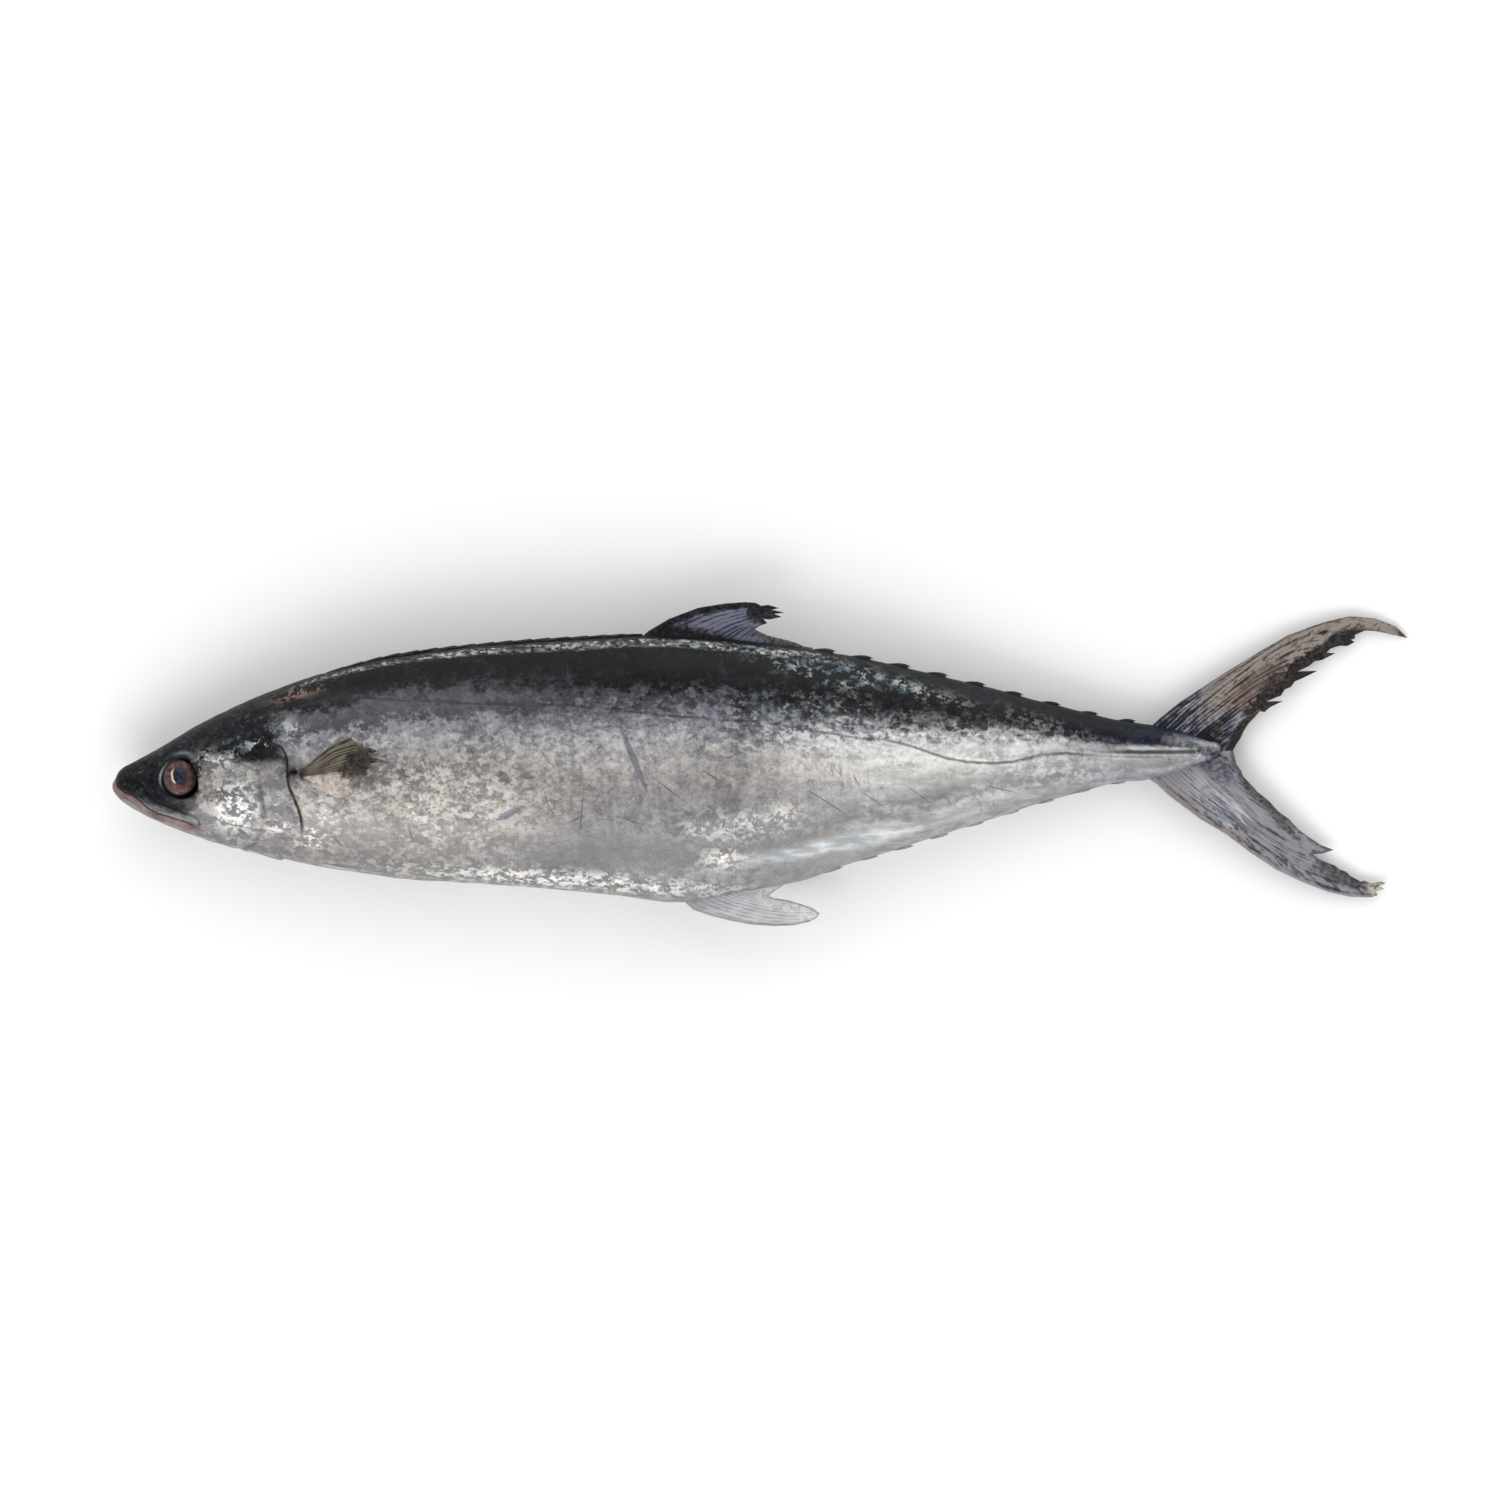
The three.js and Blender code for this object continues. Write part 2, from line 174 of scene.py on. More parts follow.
DARK_CAP = [(-10, -8), (2, -14), (9, -19), (20, -24), (33, -29), (44, -31), (50, -28), (53, -18), (54, -4),
            (57, 5), (66, 6), (74, 2), (86, 1.5), (100, 2), (106, 12), (112, 26), (140, 34)]
EYE = (41.3, -8.9)
EYE_RIM = [(0, 10.5), (48, 10.9), (70, 13), (99, 12.3), (141, 11.5), (192, 11.8), (222, 11.3),
           (249, 11.6), (278, 12.3), (300, 12.5), (328, 12.4), (345, 11.4), (360, 10.5)]
print("the lateral line has", len(LATERAL_LINE), "points")

# %% Distances to lines, and soft steps
def to_line(line, station, height):
    """Distance in mm from points to a line, and its sign: positive on the line's left."""
    best = np.full(np.shape(station), 1e9)
    sign = np.ones(np.shape(station))
    for (ax, ay), (bx, by) in zip(line[:-1], line[1:]):
        dx, dy = bx - ax, by - ay
        t = np.clip(((station - ax) * dx + (height - ay) * dy) / (dx * dx + dy * dy), 0, 1)
        gap = np.hypot(station - ax - t * dx, height - ay - t * dy)
        turn = dx * (height - ay) - dy * (station - ax)
        sign = np.where(gap < best - 1e-9, np.where(turn >= 0, 1.0, -1.0), sign)
        best = np.minimum(best, gap)
    return best, sign


def step(value, start, end):
    """0 before start, 1 after end, eased in between."""
    t = np.clip((value - start) / (end - start), 0, 1)
    return t * t * (3 - 2 * t)


def hump(value, width):
    """1 at 0, fading to nothing over about twice the width."""
    return np.exp(-((value / width) ** 2))


print("the eye's middle is", to_line(MOUTH, *EYE)[0].round(1), "mm from the mouth line")

# %% [markdown]
# ## The body's grid
#
# The skin is one closed grid of rings. Rings are packed closely at the head, where the eye, the jaws and the
# gill cover are, and one ring follows the gill cover's edge all the way round, so the slit stays crisp.
# More of each ring's points lie on the upper flank than underneath.

# %% Rings and points
stations = np.concatenate([
    np.linspace(0, 12, 36, endpoint=False), np.linspace(12, 108, 178, endpoint=False),
    np.linspace(108, 126, 34, endpoint=False), np.linspace(126, BODY_LENGTH, 222)])
angles = np.concatenate([
    np.linspace(0, math.pi, 126, endpoint=False), np.linspace(math.pi, 2 * math.pi, 68, endpoint=False)])
share = np.cos(angles)[None, :]
side = np.where(np.sin(angles) >= 0, 1.0, -1.0)[None, :]
outwards = np.abs(np.sin(angles))[None, :]

edge_share = [
    ((2 * y - back_line(s) - belly_line(s)) / (back_line(s) - belly_line(s)), s) for s, y in GILL_EDGE]
gill_station = smooth([(-1, 101)] + [(float(v), s) for v, s in reversed(edge_share)] + [(0.8, 86), (1, 84)])
pull = step(stations, 58, 108) * (1 - step(stations, 108, 170))
station = stations[:, None] + (gill_station(share) - 108) * pull[:, None]

back, belly = back_line(station), belly_line(station)
height = (back + belly) / 2 + (back - belly) / 2 * share
keel = KEEL["rise"] * np.maximum(0, 1 - np.abs(station - KEEL["station"]) / KEEL["reach"]) * outwards**60
z = middle_height(station) + side * (half_thickness(station) * outwards**KEENNESS + keel)
print("grid:", station.shape, "points", station.size)

# %% [markdown]
# ## Relief on the skin
#
# Real flesh isn't a perfect loft. The gill cover is a thin plate that stands a millimetre proud and ends in a
# slit. The eye sits in a socket. The upper jaw's plate overlaps the lower jaw. All of it is added up as one
# relief in millimetres, which moves each point along the skin's own direction.

# %% The gill cover, the jaws and the socket
gill = station - gill_station(share)  # negative on the cover
slit_on = 1 - step(share, 0.36, 0.46)
slit_depth = step(height, -50, -34)
cover_rise = 1.1 * hump(gill + 1, 9)
slit_drop = -(0.25 + 0.6 * slit_depth) * hump(gill, 0.8) - 0.4 * hump(gill, 6)
relief = np.where(gill <= 0.01, cover_rise, slit_drop) * slit_on

cheek, _ = to_line(CHEEK_CREASE, station, height)
relief -= 0.55 * hump(cheek, 1.3) - 0.35 * hump(cheek - 3.2, 2.4)

mouth, mouth_side = to_line(MOUTH, station, height)
mouth_ends = 1 - step(station, 47, 54)
relief -= 1.1 * hump(mouth, 0.6) * mouth_ends
relief += 0.15 * hump(mouth - 2.2, 1.9) * mouth_ends * (mouth_side > 0)
jaw_plate, plate_side = to_line(JAW_PLATE, station, height)
relief -= 0.45 * hump(jaw_plate, 0.8)
relief += 0.1 * hump(jaw_plate - 2.4, 2) * (plate_side < 0) * (mouth_side > 0)

eye_angle = np.degrees(np.arctan2(height - EYE[1], station - EYE[0])) % 360
eye_reach = np.hypot(station - EYE[0], height - EYE[1]) / smooth(EYE_RIM)(eye_angle)
relief -= 6.5 * (1 - step(eye_reach, 0.82, 1.0))
relief += 0.4 * hump(eye_reach - 1.14, 0.12) - 0.4 * hump(eye_reach - 1.42, 0.12)
for s, y, width in [(20, 0.5, 1.0), (25.5, -1.5, 1.3)]:  # the two nostrils
    relief -= 1.3 * hump(np.hypot((station - s) / 1.5, height - y), width)
print("socket depth:", round(float(-relief.min()), 1), "mm")

# %% The lateral line, the keels, the fin's groove and the softness of flesh
lateral, _ = to_line(LATERAL_LINE, station, height)
relief += 0.3 * hump(lateral - 1.1, 0.9) - 0.35 * hump(lateral, 0.6)
for line in [[(630, 15.5), (648, 13), (668, 9)], [(627, -3), (642, 1.5), (662, 5)]]:  # the two small keels
    gap, _ = to_line(line, station, height)
    relief += 1.8 * hump(gap, 2.6) * step(station, 622, 636)
in_groove = step(station, 124, 136) * (1 - step(station, 312, 324))
relief -= 2.6 * in_groove * hump(z - middle_height(station), 2.6) * (share > 0)

soft = np.array([[noise.fractal(Vector((s * 0.02, y * 0.03, 7 + d)), 1.0, 2.0, 3) for s, y, d in zip(*row)]
                 for row in zip(station, height, np.broadcast_to(side, station.shape))])
fine = np.array([[noise.noise(Vector((s * 0.11, y * 0.16, 3 + d))) for s, y, d in zip(*row)]
                 for row in zip(station, height, np.broadcast_to(side, station.shape))])
trunk = step(station, 100, 140) * (1 - 0.7 * step(station, 560, 620))
relief += soft * (0.35 + 0.55 * trunk) + fine * (0.16 + 0.1 * (1 - trunk))
WOUNDS = [((303.5, 24), (321.5, -20), 1.5, 0.7), ((228.5, -34.5), (246.5, -25), 1.7, 0.6)]
for start, end, width, depth in WOUNDS:
    gap, _ = to_line([start, end], station, height)
    relief -= depth * hump(gap, width) * (side > 0)
print("wounds:", len(WOUNDS))

# %% Move the points
grid = place(station, height, z)
along = np.gradient(grid, axis=0)
around = np.roll(grid, -1, axis=1) - np.roll(grid, 1, axis=1)
outward = np.cross(around, along)
outward /= np.maximum(np.linalg.norm(outward, axis=2, keepdims=True), 1e-12)
snout_fade = step(station, 0.5, 5)[..., None]
grid = grid + outward * (relief * MM)[..., None] * snout_fade
grid[..., 2] = np.maximum(grid[..., 2], 0)
print("relief from", round(float(relief.min()), 1), "to", round(float(relief.max()), 1), "mm")

# %% Helpers that make pieces
def grid_faces(rows, columns):
    """Quads of a grid that face outwards when its columns run against the clock."""
    k, j = np.meshgrid(np.arange(rows - 1), np.arange(columns), indexing="ij")
    n = (j + 1) % columns
    corners = [k * columns + j, k * columns + n, (k + 1) * columns + n, (k + 1) * columns + j]
    return [tuple(f) for f in np.stack(corners, -1).reshape(-1, 4)]


def closed_faces(rows, columns):
    """Faces of a grid whose two ends are closed by two more points, after the grid's own."""
    first, second, last = rows * columns, rows * columns + 1, (rows - 1) * columns
    faces = grid_faces(rows, columns)
    faces += [(first, (j + 1) % columns, j) for j in range(columns)]
    return faces + [(second, last + j, last + (j + 1) % columns) for j in range(columns)]


def make_piece(name, points, faces, smooth_faces=True):
    """An object at the origin, with its place in its mesh."""
    mesh = bpy.data.meshes.new(name)
    mesh.from_pydata([tuple(p) for p in np.asarray(points).reshape(-1, 3)], [], [tuple(f) for f in faces])
    mesh.validate()
    mesh.polygons.foreach_set("use_smooth", [smooth_faces] * len(mesh.polygons))
    mesh.update()
    return put(name, mesh)


def set_values(piece, **values):
    """Stores a number at each point of a piece, for its material to read."""
    for label, value in values.items():
        data = piece.data.attributes.new(label, "FLOAT", "POINT").data
        data.foreach_set("value", np.asarray(value, np.float32).ravel())


print("a closed 3 by 4 grid has", len(closed_faces(3, 4)), "faces")

# %% Close the body's ends
points = np.concatenate([grid.reshape(-1, 3), [grid[0].mean(0), grid[-1].mean(0)]])
body = make_piece("fish_body", points, closed_faces(*station.shape))
print("body faces:", len(body.data.polygons))

# %% [markdown]
# ## What the skin's colours read
#
# Colour on a fish follows its anatomy. The dark back fades at a certain depth, the pale stripe keeps its
# distance from the back line, and the pink of the jaw keeps to the lips. So each point of the skin stores
# how far it is from those things, and the material turns the distances into paint.

# %% Patches of silver, dullness and flecks
def patches(spots):
    """Soft patches, each (station, height, half length, half height, strength, tilt in degrees)."""
    total = np.zeros(station.shape)
    for s, y, length, width, strength, tilt in spots:
        c, n = math.cos(math.radians(tilt)), math.sin(math.radians(tilt))
        u = ((station - s) * c + (height - y) * n) / length
        v = (-(station - s) * n + (height - y) * c) / width
        total += strength * np.exp(-(u * u + v * v))
    return total


cap, cap_side = to_line(DARK_CAP, station, height)
# where silver has painted glints, where it has gone dull, and where loose scales catch the light as glints
silver_glint = patches([
    (496, 7, 62, 12, 0.8, -2), (420, 14, 40, 8, 0.5, -6), (372, -39, 28, 8, 0.7, 5),
    (75, -25, 11.5, 13.5, 1.45, 0), (106, 17, 7, 6, 1.2, 0), (60, -2, 8, 9, 0.5, 0), (66, 3, 9, 3, 1.0, 0),
    (204, -20, 46, 24, 0.5, 0), (150, 10, 22, 9, 0.4, 0), (128, -26, 14, 18, 0.5, 0),
    (283, -70, 92, 5, 0.6, -4), (402, -30, 9, 6, 0.8, 10), (367, -57, 12, 5, 0.8, 0),
    (400, 10, 60, 14, 0.2, 0), (270, 6, 60, 14, 0.3, 0), (560, -2, 40, 9, 0.5, -4),
    (99, -37, 5, 2.6, 0.9, -10), (121, -46, 5, 4, 0.9, 0)])
dull = patches([
    (350, -22, 42, 12, 0.55, -12), (322, -54, 34, 13, 0.5, 0), (205, -60, 95, 9, 0.4, -4),
    (500, -22, 90, 8, 0.7, 16), (118, -8, 12, 14, 0.3, 0), (99, -20, 9, 20, 1.3, 0),
    (84, -49, 26, 8, 0.9, -16), (240, -40, 60, 10, 0.3, 0), (50, -25, 12, 5, 1.0, -20),
    (60, -48, 30, 6, 0.4, -22), (175, 40, 60, 5, 0.3, 0), (420, -14, 30, 7, 0.3, -20)])
flecks = patches([
    (430, 55, 36, 6, 1.1, -14), (478, 46, 36, 4, 0.6, -18), (560, 24, 40, 4, 0.35, -18),
    (104, 18, 7, 6.5, 1.15, 0), (87, 11.5, 5.5, 2.6, 1.0, 0), (74, -26, 11, 12, 0.8, 0),
    (275, -70, 95, 5, 1.0, -4), (366, -36, 24, 7, 0.75, 5), (402, -30, 11, 7, 0.7, 10),
    (367, -57, 13, 6, 0.8, 0), (66, 4, 10, 4, 1.1, 0), (99, -37, 6, 3.4, 0.9, -10),
    (200, -20, 60, 30, 0.42, 0), (420, 30, 70, 12, 0.45, -6), (121, -45, 8, 6, 0.9, 0),
    (140, 8, 26, 14, 0.5, 0), (84, 12, 10, 4, 0.8, 0)])
print("patches: bright up to", round(float(silver_glint.max()), 2), "and dull up to", round(float(dull.max()), 2))

# %% Blushes, dark spots and broad light
pink = patches([
    (113, 42.5, 16, 3.2, 1.2, 16), (58, -11, 7, 12, 0.8, 0), (210, -20, 60, 26, 0.34, 0),
    (104, -42, 8, 7, 0.4, 0), (118, 8, 14, 8, 0.4, 0), (350, 0, 80, 16, 0.2, 0), (102, 15, 3, 4, 0.9, 0),
    (128, -60, 40, 6, 0.2, -8)])
dark = patches([
    (109, -5, 6, 3, 1.3, 20), (104, 3, 5, 3, 0.6, -40), (86, 3, 14, 2.2, 0.9, 0), (100, 9, 6, 4, 0.5, 0)])
# painted broad light and shade: patches that lighten or darken the flank
light = patches([
    (366, -56, 44, 16, 1.3, 8), (440, -22, 54, 9, 1.0, 12), (440, -36, 62, 5, -0.7, 14),
    (442, 12, 60, 10, 0.5, -4), (95, 42, 30, 10, 0.9, 25), (280, -6, 60, 14, 0.35, 0),
    (175, -56, 40, 12, -0.45, 0), (268, -56, 34, 12, -0.5, 0), (88, -50, 26, 7, -0.3, -14)])
sheen = patches([(432, -48.5, 54, 3.6, 1.0, 11)])
crescent = hump(eye_reach - 1.03, 0.05) * hump((eye_angle - 168) / 30, 1.0)
rim_light = hump(eye_reach - 1.22, 0.1) * hump((eye_angle - 80) / 24, 1.0)
print("broad light from", round(float(light.min()), 2), "to", round(float(light.max()), 2))

# %% The bony plates at the tail's root, and storing it all
upper_plate, _ = to_line([(632, 14.6), (648, 12.2), (664, 9.4)], station, height)
lower_plate, _ = to_line([(628, -2.6), (642, 1.6), (656, 5.4)], station, height)
plates = np.maximum(3.4 - (station - 632) * 0.05 - upper_plate, 3.4 - (station - 628) * 0.05 - lower_plate)


def at_points(values):
    """The grid's values, then one each for the two closing points."""
    values = np.broadcast_to(values, station.shape)
    return np.concatenate([values.ravel(), [values[0].mean(), values[-1].mean()]])


stored = dict(
    station=station, share=share, side=side, gill=gill, slit=slit_on, mouth=mouth * mouth_side,
    plate=jaw_plate, cap=cap * cap_side, eye=eye_reach, from_back=back - height, lateral=lateral,
    silver_glint=silver_glint, dull=dull, flecks=flecks, pink=pink, dark=dark, light=light, sheen=sheen, plates=plates,
    crescent=crescent, rim_light=rim_light, cheek=cheek, height=height)
set_values(body, **{label: at_points(value) for label, value in stored.items()})
print("stored on the skin:", list(stored))

# %% [markdown]
# ## Painting with nodes
#
# A material is a small calculation made at every spot of a surface. These helpers add one node each and
# return its output, so a finish reads from top to bottom like a recipe: take a distance, roughen it with
# noise, turn it into a mask, and blend a colour in.

# %% Colours by the numbers on a paint chart
def colour(red, green, blue):
    """Linear colour from the 0 to 255 values that paint charts give."""
    def linear(c):
        c = c / 255
        return c / 12.92 if c <= 0.04045 else ((c + 0.055) / 1.055) ** 2.4
    return (linear(red), linear(green), linear(blue), 1.0)


def greys(*stops):
    """Ramp stops from (position, red, green, blue) or (position, grey)."""
    return [(s[0], colour(*(s[1:] if len(s) == 4 else (s[1],) * 3))) for s in stops]


print("middle grey:", round(colour(128, 128, 128)[0], 3))

# %% Sums and masks
class Sums:
    """A material in the making. Each method adds a node and returns its output."""

    def __init__(self, name):
        self.material = bpy.data.materials.new(name)
        self.material.use_nodes = True
        self.nodes = self.material.node_tree.nodes
        self.links = self.material.node_tree.links
        self.shader = self.nodes["Principled BSDF"]
        self.place = self.nodes.new("ShaderNodeTexCoord").outputs["Object"]

    def feed(self, socket, value):
        """Links an output to a socket, or sets a plain value on it."""
        if isinstance(value, bpy.types.NodeSocket):
            self.links.new(value, socket)
        else:
            socket.default_value = value

    def read(self, label):
        """A number stored on the piece."""
        node = self.nodes.new("ShaderNodeAttribute")
        node.attribute_name = label
        return node.outputs["Fac"]

    def math(self, operation, first, second=0.0, third=0.0, clamp=False):
        node = self.nodes.new("ShaderNodeMath")
        node.operation = operation
        node.use_clamp = clamp
        for socket, value in zip(node.inputs, (first, second, third)):
            self.feed(socket, value)
        return node.outputs[0]

    def add(self, *terms):
        total = terms[0]
        for term in terms[1:]:
            total = self.math("ADD", total, term)
        return total

    def times(self, *terms, clamp=False):
        total = terms[0]
        for term in terms[1:]:
            total = self.math("MULTIPLY", total, term, clamp=clamp)
        return total

    def sway(self, cloud, amount):
        """A 0 to 1 noise centred on 0 and scaled, to make an edge wander."""
        return self.times(self.add(cloud, -0.5), amount)

    def weighed(self, *parts):
        """A sum of (value, weight) pairs."""
        return self.add(*[self.times(value, weight) for value, weight in parts])

    def between(self, value, start, end, low=0.0, high=1.0):
        """low where value is at start, high where it is at end, eased."""
        node = self.nodes.new("ShaderNodeMapRange")
        node.interpolation_type = "SMOOTHSTEP"
        for label, given in (("Value", value), ("From Min", start), ("From Max", end),
                             ("To Min", low), ("To Max", high)):
            self.feed(node.inputs[label], given)
        return node.outputs[0]


print("sums:", [name for name in vars(Sums) if name[0] != "_"])

# %% Noises, flakes and marks
class Patterns(Sums):
    """Patterns over a surface, with sizes in mm."""

    def stretched(self, stretch, turn=0.0):
        """Places drawn out along the turned X axis where the first stretch is below 1."""
        node = self.nodes.new("ShaderNodeMapping")
        node.vector_type = "TEXTURE"  # turns first and stretches after
        self.links.new(self.place, node.inputs["Vector"])
        node.inputs["Scale"].default_value = [1 / value for value in stretch]
        node.inputs["Rotation"].default_value = (0, 0, math.radians(turn))
        return node.outputs[0]

    def noise(self, size, stretch=(1, 1, 1), detail=3.0, rough=0.55, turn=0.0, seed=0.0):
        """Cloudy noise from 0 to 1 whose lumps are about size mm across."""
        node = self.nodes.new("ShaderNodeTexNoise")
        node.noise_dimensions = "4D"
        self.links.new(self.stretched(stretch, turn), node.inputs["Vector"])
        for label, given in (
            ("W", seed), ("Scale", 1 / (size * MM)), ("Detail", detail), ("Roughness", rough)):
            node.inputs[label].default_value = given
        return node.outputs["Fac"]

    def cells(self, size, stretch=(1, 1, 1)):
        """Distance from the middle of the nearest cell, for cells of about size mm."""
        node = self.nodes.new("ShaderNodeTexVoronoi")
        self.links.new(self.stretched(stretch), node.inputs["Vector"])
        node.inputs["Scale"].default_value = 1 / (size * MM)
        return node.outputs["Distance"]

    def flakes(self, size, stretch=(1, 1, 1), seed=0.0, torn=0.45):
        """A random value for each flake of about size mm, with torn edges."""
        cloud = self.nodes.new("ShaderNodeTexNoise")
        cloud.inputs["Scale"].default_value = 2.2 / (size * MM)
        cloud.inputs["Detail"].default_value = 3
        self.links.new(self.place, cloud.inputs["Vector"])
        spread = self.nodes.new("ShaderNodeVectorMath")
        spread.operation = "MULTIPLY_ADD"
        self.links.new(cloud.outputs["Color"], spread.inputs[0])
        spread.inputs[1].default_value = (size * MM * torn * 2,) * 3
        self.links.new(self.stretched(stretch), spread.inputs[2])
        node = self.nodes.new("ShaderNodeTexVoronoi")
        node.voronoi_dimensions = "4D"
        self.links.new(spread.outputs[0], node.inputs["Vector"])
        node.inputs["W"].default_value = seed
        node.inputs["Scale"].default_value = 1 / (size * MM)
        split = self.nodes.new("ShaderNodeSeparateColor")
        self.links.new(node.outputs["Color"], split.inputs[0])
        return split.outputs[0]

    def centred(self, middle, turn, half_length, half_width):
        """Two places along and across a turned spot, 0 in its middle and 1 at its edges."""
        node = self.nodes.new("ShaderNodeMapping")
        node.vector_type = "TEXTURE"
        self.links.new(self.place, node.inputs["Vector"])
        node.inputs["Location"].default_value = middle
        node.inputs["Rotation"].default_value = (0, 0, math.radians(turn))
        node.inputs["Scale"].default_value = (half_length, half_width, 1)
        split = self.nodes.new("ShaderNodeSeparateXYZ")
        self.links.new(node.outputs[0], split.inputs[0])
        return split.outputs[0], split.outputs[1]

    def mark(self, start, end, width, rough=0.25):
        """1 on a thin straight mark between two (station, height) points, on the upper side."""
        a = Vector((STATION_0 + start[0] * MM, HEIGHT_0 + start[1] * MM, 0))
        b = Vector((STATION_0 + end[0] * MM, HEIGHT_0 + end[1] * MM, 0))
        turn = math.degrees(math.atan2(b.y - a.y, b.x - a.x))
        along, across = self.centred((a + b) / 2, turn, (b - a).length / 2, width * MM / 2)
        x = self.math("ABSOLUTE", along)
        lens_shape = self.math("SUBTRACT", 1.0, self.times(x, x))
        y = self.math("ABSOLUTE", self.add(across, self.add(self.times(self.wobble, 2 * rough), -rough)))
        return self.times(self.between(self.math("SUBTRACT", lens_shape, y), 0.0, 0.5), self.upper)


print("patterns:", [name for name in vars(Patterns) if name[0] != "_"])

# %% Colours, layers and the surface
class Finish(Patterns):
    """Paint in layers, and what the light does on it."""

    def ramp(self, value, stops):
        """Colours along a value: stops are (position, colour)."""
        node = self.nodes.new("ShaderNodeValToRGB")
        node.color_ramp.interpolation = "EASE"
        elements = node.color_ramp.elements
        while len(elements) < len(stops):
            elements.new(0.5)
        for element, (position, shade) in zip(elements, stops):
            element.position = position
            element.color = shade
        self.feed(node.inputs[0], value)
        return node.outputs["Color"]

    def blend(self, share, under, over):
        """The colour under, with the colour over laid on it as thickly as the share says."""
        node = self.nodes.new("ShaderNodeMix")
        node.data_type = "RGBA"
        node.clamp_factor = True
        self.feed(node.inputs[0], share)
        self.feed(node.inputs[6], under)
        self.feed(node.inputs[7], over)
        return node.outputs[2]

    def shades(self, value, *stops):
        """Colours along a value, from (position, red, green, blue) stops."""
        return self.ramp(value, greys(*stops))

    def cover(self, share, over):
        """Lays a colour over what is painted so far."""
        self.tint = self.blend(share, self.tint, over)

    def shade(self, colour_in, factor):
        """The colour made darker or lighter by a factor."""
        node = self.nodes.new("ShaderNodeVectorMath")
        node.operation = "SCALE"
        self.feed(node.inputs[0], colour_in)
        self.feed(node.inputs["Scale"], factor)
        return node.outputs[0]

    def surface(self, base, roughness, metallic, height_mm=None, **fixed):
        """Ends the finish: fills the shader's sockets, and its bumps from a relief in mm."""
        self.feed(self.shader.inputs["Base Color"], base)
        self.feed(self.shader.inputs["Roughness"], roughness)
        self.feed(self.shader.inputs["Metallic"], metallic)
        for label, value in fixed.items():
            self.shader.inputs[label.replace("_", " ")].default_value = value
        if height_mm is not None:
            node = self.nodes.new("ShaderNodeBump")
            node.inputs["Distance"].default_value = MM
            self.feed(node.inputs["Height"], height_mm)
            self.links.new(node.outputs[0], self.shader.inputs["Normal"])
        return self.material


print("paint:", [name for name in vars(Finish) if name[0] != "_"])

# %% [markdown]
# ## The skin
#
# The back is blue-black, the flank silver and the belly a soft grey. The change from dark to silver is
# ragged, because the pigment sits in small scales that rub off. Four colour ramps run from back to belly,
# for the shoulder, the middle, the rear and the tail stem, and the skin fades from one to the next. The
# ramps hold painted light and shade as well as pigment, and the rear's broad white band is a painted
# reflection.

# %% Back-to-belly ramps
# colours with painted light and shade in them; the rear's whitest stops are a painted reflection band
SHOULDER = greys(
    (0.0, 20), (0.09, 22, 22, 25), (0.14, 42, 42, 46), (0.2, 104, 104, 109), (0.27, 100, 101, 108),
    (0.33, 146, 146, 153), (0.42, 170, 169, 170), (0.52, 152, 149, 147), (0.62, 174, 170, 166),
    (0.72, 172, 169, 164), (0.82, 140, 138, 136), (1.0, 148, 147, 146))
MIDDLE = greys((0.0, 16), (0.1, 18, 18, 21), (0.17, 30, 30, 34), (0.235, 84, 84, 91), (0.3, 126, 126, 134),
               (0.36, 158, 157, 163), (0.44, 180, 179, 180), (0.54, 180, 177, 176), (0.7, 164, 163, 163),
               (0.85, 130, 129, 130), (1.0, 146, 145, 145))
REAR = greys((0.0, 50, 53, 56), (0.1, 44, 46, 48), (0.16, 18, 18, 20), (0.24, 40, 39, 40), (0.3, 84, 84, 88),
             (0.345, 170, 170, 174), (0.4, 230, 228, 227), (0.54, 236, 234, 232), (0.64, 206, 204, 202),
             (0.74, 168, 168, 168), (0.84, 190, 189, 187), (1.0, 160, 160, 160))
STEM = greys(
    (0.0, 26, 28, 32), (0.2, 16, 17, 21), (0.3, 30, 32, 38), (0.36, 88, 90, 98), (0.42, 178, 178, 181),
    (0.62, 184, 184, 185), (0.8, 154, 154, 158), (1.0, 150, 150, 154))
print("ramp stops:", [len(ramp) for ramp in (SHOULDER, MIDDLE, REAR, STEM)])

# %% The noises that the skin is painted with
skin = Finish("raw_skin")
skin.upper = skin.between(skin.read("side"), -0.2, 0.2)
skin.wobble = skin.noise(3, detail=2)
where = skin.read("station")
big = skin.noise(34, (0.6, 1, 1), detail=4)
middling = skin.noise(9, (0.8, 1, 1), detail=5, rough=0.65)
small = skin.noise(2.6, (0.85, 1, 1), detail=4, rough=0.7)
grain = skin.noise(0.9, detail=2)
streaks = skin.noise(5, (0.12, 1, 1), detail=4, rough=0.6, turn=-3)
wrinkles = skin.noise(5, (1, 0.14, 1), detail=3, rough=0.6, turn=8)
print("nodes for the noises:", len(skin.nodes))

# %% The ragged fade from back to belly
depth = skin.math("MULTIPLY_ADD", skin.read("share"), -0.5, 0.5)
patchwork = skin.flakes(4.2, (0.75, 1, 1), seed=1)
fine_patchwork = skin.flakes(1.9, (0.8, 1, 1), seed=2)
ragged = skin.add(depth, skin.sway(big, 0.12), skin.sway(middling, 0.16),
                  skin.sway(small, 0.10), skin.sway(streaks, 0.07),
                  skin.sway(patchwork, 0.035), skin.sway(fine_patchwork, 0.03))
skin.tint = skin.blend(skin.between(where, 190, 300), skin.ramp(ragged, SHOULDER), skin.ramp(ragged, MIDDLE))
skin.cover(skin.between(where, 370, 470), skin.ramp(ragged, REAR))
skin.cover(skin.between(where, 530, 600), skin.ramp(ragged, STEM))
print("back to belly:", len(skin.nodes))

# %% [markdown]
# ## The dark cap and the silver cheek
#
# The top of the head is the darkest skin of the fish, and the cheek and the gill cover below it are silver.
# A mask could be painted by hand. The stored distance to the cap's edge, roughened by noise, gives a border
# as torn as pigment on wet skin, and it stays where the eye needs it.

